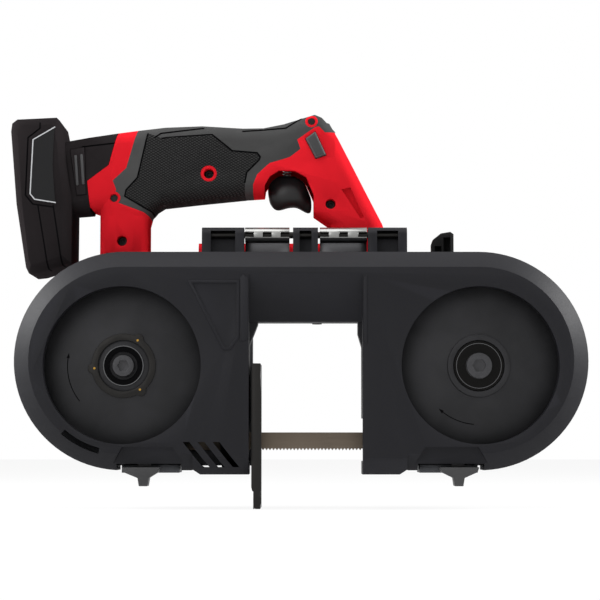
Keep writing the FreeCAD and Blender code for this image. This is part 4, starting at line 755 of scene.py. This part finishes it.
# how far the painted highlight ring on the drive hub stands off
HUB_HIGHLIGHT_LIFT = 0.1
PANEL_RIM_WIDTH = 1.8
PANEL_RIM_DEPTHS = (-60.5, -59.0)
FLANGE_DEPTHS = (-60.6, -59.6)
WHEEL_FACE = -46.0
HUB_FACE = -48.0
WASHER_DEPTH = 4.0
HUB_MARK_TURNS = (61, 185, 305)  # degrees
HUB_MARK_REACH = 17.6
HUB_MARK_RADIUS = 0.7
HUB_MARK_DEPTHS = (HUB_FACE, -47.4)
GRIP_DEPTHS = {"near": (-30.0, 7.6), "far": (8.4, 46.0)}
GRIP_LINE_WIDTH = 0.7
GRIP_LINE_RISE = 0.2
COLLAR_RADIUS = 3.9
COLLAR_RISE = 0.12
SOCKET_RADIUS = 2.2
SOCKET_DEPTHS = (-11.6, -10.9)
TRIGGER_GRID = 0.5
BATTERY_NEAR_HALF = (-30.0, 0.0)
BATTERY_LINE_WIDTH = 0.8
STEM_LINE_WIDTH = 0.9
SEAM_RISE = 0.06
LABEL_INSET = 0.4
LABEL_OUTLINE_WIDTH = 0.7
LABEL_OUTLINE_RISE = 0.12
LABEL_OUTLINE_SINK = 0.02
RIDGE_X, RIDGE_Z = -136.4, 209.5
RIDGE_STEP = (3.6, 0.0, 0.6)
RIDGE_SIZE = (1.6, 1.8, 19.0)
RIDGE_TURN = (0.0, math.radians(-4), 0.0)
RIDGE_EASE = 0.5
RIDGE_LIFT = 0.1

# Numbers shared by the finishes, in metres
NOISE_ROUGHNESS = 0.55  # share of each finer octave
MARKS_PER_METRE = 900.0  # turning marks on the wheels
HEAD_EDGE = (0.0076, 0.008)  # rim of the bolt heads on the axles
TOOTH_EDGE = (-0.0056, -0.0045)  # ground edge, across the blade from its middle
BLADE_TWIST = math.radians(56)
BLADE_MIDDLE = Vector((0.0, -0.038, 0.0404))
HINGE_BARREL = 0.1637  # foot of the barrel, where the painted highlight begins

# Stage, in metres
FLOOR_REACH = 3.0
FLOOR_DROP = 0.0002
TOP_LIGHT = (-0.15, -0.35, 1.1)
FRONT_LIGHT = (-0.8, -1.5, 0.7)
SIDE_LIGHT = Vector((0.9, 0.0, 0.55))
CAMERA_TARGET = Vector((0.0033, -0.060, 0.125))

_made = {}


def finish_of(slot):
    """The finish of a material slot, made once."""
    if slot not in _made:
        tones = bpy.context.scene.band_saw_colours
        sizes = bpy.context.scene.band_saw_sizes
        _made[slot] = {
            "guard_black": lambda: guard_plastic(slot, tones.guard),
            "red_shell": lambda: red_plastic(slot, tones.shell),
            "grip_rubber": lambda: grip_rubber(slot, tones.rubber, pitch=0.0),
            "grip_texture": lambda: grip_rubber(slot, tones.rubber, sizes.grip_pitch),
            "trigger_black": lambda: trigger_plastic(slot, tones.trigger, *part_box("trigger")),
            "button_grey": lambda: moulded(slot, tones.button, 0.5, shine=0.22),
            "battery_black": lambda: moulded(
                slot, tones.battery, 0.5, grain=0.0004, depth=0.00006, shine=0.0,
            ),
            "label_dark": lambda: moulded(
                slot, tones.label, 0.34, grain=0.0008, depth=0.00001, shine=0.15,
            ),
            # dark matte lines for seams and marks, also the painted shadow ring on the drive hub
            "seam_and_shade": lambda: moulded(
                slot, shade(tones.trigger, 0.6), 0.95, grain=0.0006, depth=0.00002, shine=0.0,
            ),
            "silver": lambda: brushed(slot, tones.silver, 0.34, along=(0, 0, 1)),
            # darkened silver for the painted highlight rings on the hubs
            "highlight_silver": lambda: brushed(slot, shade(tones.silver, 0.3), 0.34, along=(0, 0, 1)),
            "frame_cast": lambda: cast_metal(slot, tones.casting, 0.48),
            "wheel_black": lambda: turned_metal(slot, tones.wheel, 0.42, DRIVE_WHEEL),
            "idler_black": lambda: turned_metal(slot, tones.wheel, 0.42, IDLER_WHEEL),
            "tyre_rubber": lambda: moulded(slot, tones.tyre, 0.75, grain=0.0006, depth=0.00008),
            "steel": lambda: brushed(slot, tones.steel, 0.3),
            "brass": lambda: brushed(slot, tones.brass, 0.3),
            "hinge_steel": lambda: hinge_metal(slot, tones.hinge, tones.lit_barrel, HINGE_BARREL),
            "drive_head": lambda: hub_metal(slot, tones.head, tones.oxide, DRIVE_WHEEL),
            "idler_head": lambda: hub_metal(slot, tones.head, shade(tones.oxide, 0.3), IDLER_WHEEL),
            "black_oxide": lambda: cast_metal(slot, tones.oxide, 0.36),
            "blade_steel": lambda: blade_metal(slot, tones.blade, BLADE_MIDDLE, BLADE_TWIST),
            "gear_steel": lambda: brushed(slot, tones.gear, 0.28, along=(0, 1, 0)),
            "copper": lambda: windings(slot, tones.copper),
            "board_green": lambda: circuit_board(slot, tones.board),
            "cell_wrap": lambda: moulded(slot, tones.cell, 0.4, grain=0.0008, depth=0.00002),
        }[slot]()
    return _made[slot]


def dress_all(nodes, width):
    """Eases the edges of several CAD nodes by a width in metres."""
    return [dressed(node, width / MM, finish_of(SLOT_OF[node])) for node in nodes]


def arrow(name, centre, radius, first, last, front, body):
    """A turning mark on a wheel's disc: an arc between two angles in degrees with a pointed end."""
    width, tip, barb, steps = 0.5, 3.2, 1.0, 18
    way = 1 if last > first else -1
    angles = [math.radians(first + (last - first) * i / steps) for i in range(steps + 1)]

    def at(angle, reach):
        return (centre.x / MM + reach * math.cos(angle), centre.z / MM + reach * math.sin(angle))

    end = angles[-1]
    outline = [at(a, radius + width / 2) for a in angles]
    outline += [at(end, radius + barb), at(end + way * tip / radius, radius), at(end, radius - barb)]
    outline += [at(a, radius - width / 2) for a in reversed(angles)]
    made = slab(name, outline, front - ARROW_RISE, front + TRIM_SINK)
    return settle(smoothed(made), body, "wheel_black", finish_of("seam_and_shade"))


def lines_on(name, skin, routes, width, low, high, rise):
    """Fine dark lines along routes of (x, z) points, laid on a skin."""
    runs = []
    for number, route in enumerate(routes, 1):
        left, right = strip(route, width)
        outline = [tuple(p) for p in left + right[::-1]]
        runs.append(lifted(f"{name}_{number}", skin, outline, low, high, rise))
    return runs


def circle(x, z, radius):
    """Points round a circle of (x, z) millimetres."""
    turns = [2 * math.pi * i / CIRCLE_POINTS for i in range(CIRCLE_POINTS)]
    return [(x + radius * math.cos(t), z + radius * math.sin(t)) for t in turns]


def disc(name, x, z, radius, low, high):
    """A short cylinder along Y, in millimetres."""
    return slab(name, circle(x, z, radius), low, high)


class BANDSAW_OT_guard(Operator):
    """Dresses the guard door, its sunk panel and its two latches"""

    bl_idname = "bandsaw.guard"
    bl_label = "Guard"

    def execute(self, context):
        sizes = context.scene.band_saw_sizes
        dress_all(["guard_door"], sizes.guard_ease)
        dress_all(["guard_latch_left", "guard_latch_right"], sizes.small_ease)
        rim = loop("guard_panel_rim", GUARD_PANEL, PANEL_RIM_WIDTH, *PANEL_RIM_DEPTHS)
        flanges = [slab(f"guard_flange_{side}", outline, *FLANGE_DEPTHS)
                   for side, outline in zip(("left", "right"), GUARD_FLANGES)]
        for made in (rim, *flanges):
            eased(made, TRIM_EASE)
            settle(smoothed(made), "guard_door", "guard_black", finish_of("guard_black"))
        return {"FINISHED"}


class BANDSAW_OT_drive(Operator):
    """Dresses the wheels, their hubs and the blade, and adds the turning marks, a painted shadow ring and
    painted highlight rings on the hubs
    """

    bl_idname = "bandsaw.drive"
    bl_label = "Wheels and blade"

    def execute(self, context):
        ease = context.scene.band_saw_sizes.small_ease
        dressed("drive_wheel", ease / MM, finish_of("wheel_black"))
        dressed("idler_wheel", ease / MM, finish_of("idler_black"))
        dress_all(["drive_tyre", "idler_tyre", "drive_hub_clip"], ease)
        dressed("drive_bolt", width=0.8, finish=finish_of("drive_head"), segments=3)
        dressed("idler_bolt", width=0.6, finish=finish_of("idler_head"), segments=3)
        # painted light on the hubs: a dark ring as painted shadow on the drive hub, and thin pale rings
        # as painted highlights round the hub rims
        edge = HUB_FACE - HUB_HIGHLIGHT_LIFT
        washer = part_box("idler_bolt")[0].y / MM + WASHER_DEPTH
        for name, body, hub, radius, width, front, slot in (
            ("drive_hub_shadow", "drive", DRIVE_WHEEL, 10.1, 3.2, HUB_FACE, "seam_and_shade"),
            ("drive_hub_highlight", "drive", DRIVE_WHEEL, 12.0, 0.45, edge, "highlight_silver"),
            ("idler_hub_highlight", "idler", IDLER_WHEEL, 13.6, 0.3, washer, "highlight_silver"),
        ):
            route = circle(hub.x / MM, hub.z / MM, radius)
            ring = loop(name, route, width, front - RING_RISE, front + TRIM_SINK)
            settle(smoothed(ring), body, "wheel_black", finish_of(slot))
        arrow("drive_mark", DRIVE_WHEEL, radius=34.0, first=219, last=172, front=WHEEL_FACE, body="drive")
        arrow("idler_mark", IDLER_WHEEL, radius=35.5, first=265, last=232, front=WHEEL_FACE, body="idler")
        for number, degrees in enumerate(HUB_MARK_TURNS, 1):
            turn = math.radians(degrees)
            x = DRIVE_WHEEL.x / MM + HUB_MARK_REACH * math.cos(turn)
            z = DRIVE_WHEEL.z / MM + HUB_MARK_REACH * math.sin(turn)
            mark = disc(f"hub_mark_{number}", x, z, HUB_MARK_RADIUS, *HUB_MARK_DEPTHS)
            settle(smoothed(mark), "drive", "steel", finish_of("brass"))
        painted("blade", finish_of("blade_steel"))
        for side in ("left", "right"):
            for height in ("upper", "lower"):
                painted(f"roller_{side}_{height}", finish_of("steel"))
        return {"FINISHED"}


class BANDSAW_OT_handle(Operator):
    """Dresses the handle halves, grips, trigger and lock button, and adds the textured panels"""

    bl_idname = "bandsaw.handle"
    bl_label = "Handle"

    def execute(self, context):
        sizes = context.scene.band_saw_sizes
        for side in ("near", "far"):
            shell, post = f"handle_shell_{side}", f"handle_post_{side}"
            skin = smoothed(eased(joined(shell, post), sizes.shell_ease / MM))
            settle(skin, "frame", "red_shell", finish_of("red_shell"), shell, post)
        for side, (low, high) in GRIP_DEPTHS.items():
            skin = dressed(f"grip_{side}", sizes.shell_ease / MM, finish_of("grip_rubber"))
            panel = lifted(f"grip_texture_{side}", skin, GRIP_PANEL, low, high, sizes.grip_rise / MM)
            settle(smoothed(panel), "frame", "grip_rubber", finish_of("grip_texture"))
            seams = lines_on(
                f"grip_line_{side}", skin, GRIP_LINES, GRIP_LINE_WIDTH, low, high, GRIP_LINE_RISE,
            )
            for line in seams:
                settle(smoothed(line), "frame", "grip_rubber", finish_of("seam_and_shade"))
        near = bpy.data.objects["grip_near_skin"]
        for number, (x, z) in enumerate(HANDLE_DIMPLES, 1):
            ring = circle(x, z, COLLAR_RADIUS)
            collar = lifted(f"handle_collar_{number}", near, ring, *GRIP_DEPTHS["near"], COLLAR_RISE)
            settle(smoothed(collar), "frame", "red_shell", finish_of("red_shell"))
            socket = disc(f"handle_socket_{number}", x, z, SOCKET_RADIUS, *SOCKET_DEPTHS)
            settle(smoothed(socket), "frame", "black_oxide", finish_of("black_oxide"))
        rounded("trigger", TRIGGER_GRID, passes=180, share=0.4, finish=finish_of("trigger_black"))
        dressed("lock_button", width=0.9, finish=finish_of("button_grey"), segments=3)
        dress_all(["handle_screws"], sizes.small_ease)
        return {"FINISHED"}


class BANDSAW_OT_battery(Operator):
    """Dresses the battery pack and its latches, and adds the label's outline and the ridges"""

    bl_idname = "bandsaw.battery"
    bl_label = "Battery"

    def execute(self, context):
        sizes = context.scene.band_saw_sizes
        case = dress_all(["battery_case", "battery_stem"], sizes.shell_ease)[0]
        for name, routes, width in (
            ("battery_line", BATTERY_LINES, BATTERY_LINE_WIDTH),
            ("stem_line", STEM_LINES, STEM_LINE_WIDTH),
        ):
            for line in lines_on(name, case, routes, width, *BATTERY_NEAR_HALF, SEAM_RISE):
                settle(smoothed(line), "battery", "battery_black", finish_of("seam_and_shade"))
        dress_all(["battery_latch_near", "battery_latch_far"], sizes.small_ease)
        painted("battery_label", finish_of("label_dark"))
        painted("battery_cells", finish_of("cell_wrap"))
        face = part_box("battery_label")[0].y / MM
        inner = [(x + LABEL_INSET, z) for x, z in BATTERY_LABEL]
        outline = band(
            "battery_label_outline", inner, LABEL_OUTLINE_WIDTH,
            face - LABEL_OUTLINE_RISE, face + LABEL_OUTLINE_SINK,
        )
        settle(outline, "battery", "label_dark", finish_of("silver"))
        for side, way in (("near", -1.0), ("far", 1.0)):
            latch = f"battery_latch_{side}"
            low, high = (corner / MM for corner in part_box(latch))
            face = low.y if way < 0 else high.y
            ridges = row(
                f"{latch}_ridges", finish_of("button_grey"), sizes.ridge_count,
                (RIDGE_X, face + way * RIDGE_LIFT, RIDGE_Z), RIDGE_STEP, RIDGE_SIZE,
                RIDGE_TURN, RIDGE_EASE,
            )
            settle(ridges, latch, "battery_black", finish_of("button_grey"))
        return {"FINISHED"}


class BANDSAW_OT_frame(Operator):
    """Dresses the frame, hinge, work shoe, blade guides and tension lever"""

    bl_idname = "bandsaw.frame"
    bl_label = "Frame"

    def execute(self, context):
        sizes = context.scene.band_saw_sizes
        dress_all(["main_frame", "gear_case", "motor_housing", "motor_end_cap"], sizes.shell_ease)
        dress_all([
            "hinge_leaf", "work_shoe", "guide_block_left", "guide_block_right", "frame_screws",
            "tension_lever", "idler_carriage",
        ], sizes.small_ease)
        return {"FINISHED"}


class BANDSAW_OT_inside(Operator):
    """Paints the parts inside: motor, gears, springs, switch and board"""

    bl_idname = "bandsaw.inside"
    bl_label = "Inside parts"

    def execute(self, context):
        squeezed("tension_spring")
        for node, made in NODES.items():
            if not made.hide_render:
                painted(node, finish_of(SLOT_OF[node]))
        painted("hinge_pin", finish_of("black_oxide"))
        return {"FINISHED"}


def seen_directly(tree):
    """1 for camera, glossy and transmitted rays, 0 for the rays that light the object."""
    path = tree.nodes.new("ShaderNodeLightPath")
    total = path.outputs["Is Camera Ray"]
    for label in ("Is Glossy Ray", "Is Transmission Ray"):
        most = tree.nodes.new("ShaderNodeMath")
        most.operation = "MAXIMUM"
        tree.links.new(total, most.inputs[0])
        tree.links.new(path.outputs[label], most.inputs[1])
        total = most.outputs[0]
    return total


def lamp(name, place, target, size, power):
    """A round soft light that faces a target."""
    light = bpy.data.lights.new(name, "AREA")
    light.shape = "DISK"
    light.size = size
    light.energy = power
    made = bpy.data.objects.new(name, light)
    made.location = place
    made.rotation_euler = (Vector(target) - Vector(place)).to_track_quat("-Z", "Y").to_euler()
    bpy.context.scene.collection.objects.link(made)


class BANDSAW_OT_stage(Operator):
    """Makes the floor, the soft studio light and the camera"""

    bl_idname = "bandsaw.stage"
    bl_label = "Stage"

    def execute(self, context):
        scene = context.scene
        scene.view_settings.view_transform = "Standard"
        look = scene.band_saw_stage

        world = bpy.data.worlds.new("Studio")
        world.use_nodes = True
        scene.world = world
        tree = world.node_tree
        sky = tree.nodes["Background"]
        sky.inputs["Color"].default_value = (1.0, 1.0, 1.0, 1.0)
        level = tree.nodes.new("ShaderNodeMapRange")
        tree.links.new(seen_directly(tree), level.inputs["Value"])
        level.inputs["To Min"].default_value = look.ambient
        level.inputs["To Max"].default_value = 1.0
        tree.links.new(level.outputs[0], sky.inputs["Strength"])

        form = bmesh.new()
        bmesh.ops.create_grid(form, x_segments=1, y_segments=1, size=FLOOR_REACH)
        mesh = bpy.data.meshes.new("floor")
        form.to_mesh(mesh)
        form.free()
        floor = link(mesh, "floor")
        floor.location.z = CAD_BOX[0].z - FLOOR_DROP
        pale = bpy.data.materials.new("floor_pale")
        pale.use_nodes = True
        tree = pale.node_tree
        matt = tree.nodes["Principled BSDF"]
        matt.inputs["Base Color"].default_value = (0.86, 0.86, 0.86, 1.0)
        matt.inputs["Roughness"].default_value = 0.8
        matt.inputs["Specular IOR Level"].default_value = 0.1
        white = tree.nodes.new("ShaderNodeEmission")
        white.inputs["Strength"].default_value = 1.0
        share = tree.nodes.new("ShaderNodeMath")
        share.operation = "MULTIPLY"
        tree.links.new(seen_directly(tree), share.inputs[0])
        share.inputs[1].default_value = look.floor_white
        mix = tree.nodes.new("ShaderNodeMixShader")
        tree.links.new(share.outputs[0], mix.inputs[0])
        tree.links.new(matt.outputs[0], mix.inputs[1])
        tree.links.new(white.outputs[0], mix.inputs[2])
        tree.links.new(mix.outputs[0], tree.nodes["Material Output"].inputs["Surface"])
        mesh.materials.append(pale)

        aim = (CAD_BOX[0] + CAD_BOX[1]) / 2
        lamp("top_light", TOP_LIGHT, aim, size=0.9, power=look.top_power)
        lamp("front_light", FRONT_LIGHT, aim, size=1.0, power=look.front_power)
        for side, way in (("left", -1.0), ("right", 1.0)):
            place = SIDE_LIGHT * Vector((way, 1.0, 1.0))
            lamp(f"{side}_light", place, aim, size=0.4, power=look.side_power)

        camera = bpy.data.cameras.new("camera")
        camera.lens = 120.0
        camera.sensor_width = 36.0
        camera.clip_end = 20.0
        eye = bpy.data.objects.new("camera", camera)
        rise = look.camera_elevation
        back = Vector((0.0, -math.cos(rise), math.sin(rise)))
        eye.location = CAMERA_TARGET + back * look.camera_distance
        eye.rotation_euler = (-back).to_track_quat("-Z", "Y").to_euler()
        scene.collection.objects.link(eye)
        scene.camera = eye
        return {"FINISHED"}


class BandSawStage(PropertyGroup):
    ambient: FloatProperty(
        name="Ambient", description="Strength of the sky's light", default=0.32, min=0.0,
    )
    floor_white: FloatProperty(
        name="Floor white", description="Share of plain white in the floor as seen",
        default=0.9, min=0.0, max=1.0,
    )
    top_power: power("Top light", "Power of the light overhead", 5.5)
    front_power: power("Front light", "Power of the light in front", 4.5)
    side_power: power("Side light", "Power of the light at each side", 13.0)
    camera_distance: FloatProperty(
        name="Camera distance", description="From the guard's face to the camera",
        default=1.2, unit="LENGTH",
    )
    camera_elevation: FloatProperty(
        name="Camera elevation", description="Above the horizon",
        default=math.radians(-4), subtype="ANGLE",
    )


GROUPS = (
    ("band_saw_colours", BandSawColours),
    ("band_saw_sizes", BandSawSizes),
    ("band_saw_stage", BandSawStage),
)
OPERATORS = (
    BANDSAW_OT_guard, BANDSAW_OT_drive, BANDSAW_OT_handle, BANDSAW_OT_battery, BANDSAW_OT_frame,
    BANDSAW_OT_inside, BANDSAW_OT_stage,
)


class BANDSAW_PT_panel(Panel):
    """Sizes, colours and steps of the band saw"""

    bl_idname = "BANDSAW_PT_panel"
    bl_label = "Band Saw"
    bl_space_type = "VIEW_3D"
    bl_region_type = "UI"
    bl_category = "Band Saw"

    def draw(self, context):
        for attribute, group in GROUPS:
            column = self.layout.column(align=True)
            for name in group.__annotations__:
                column.prop(getattr(context.scene, attribute), name)
        for operator in OPERATORS:
            self.layout.operator(operator.bl_idname)


def register():
    for attribute, group in GROUPS:
        bpy.utils.register_class(group)
        setattr(bpy.types.Scene, attribute, PointerProperty(type=group))
    for made in (*OPERATORS, BANDSAW_PT_panel):
        bpy.utils.register_class(made)


def unregister():
    for made in reversed((*OPERATORS, BANDSAW_PT_panel)):
        bpy.utils.unregister_class(made)
    for attribute, group in reversed(GROUPS):
        delattr(bpy.types.Scene, attribute)
        bpy.utils.unregister_class(group)


def main():
    register()
    for step in ("guard", "drive", "handle", "battery", "frame", "inside", "stage"):
        getattr(bpy.ops.bandsaw, step)()


if __name__ == "__main__":
    main()
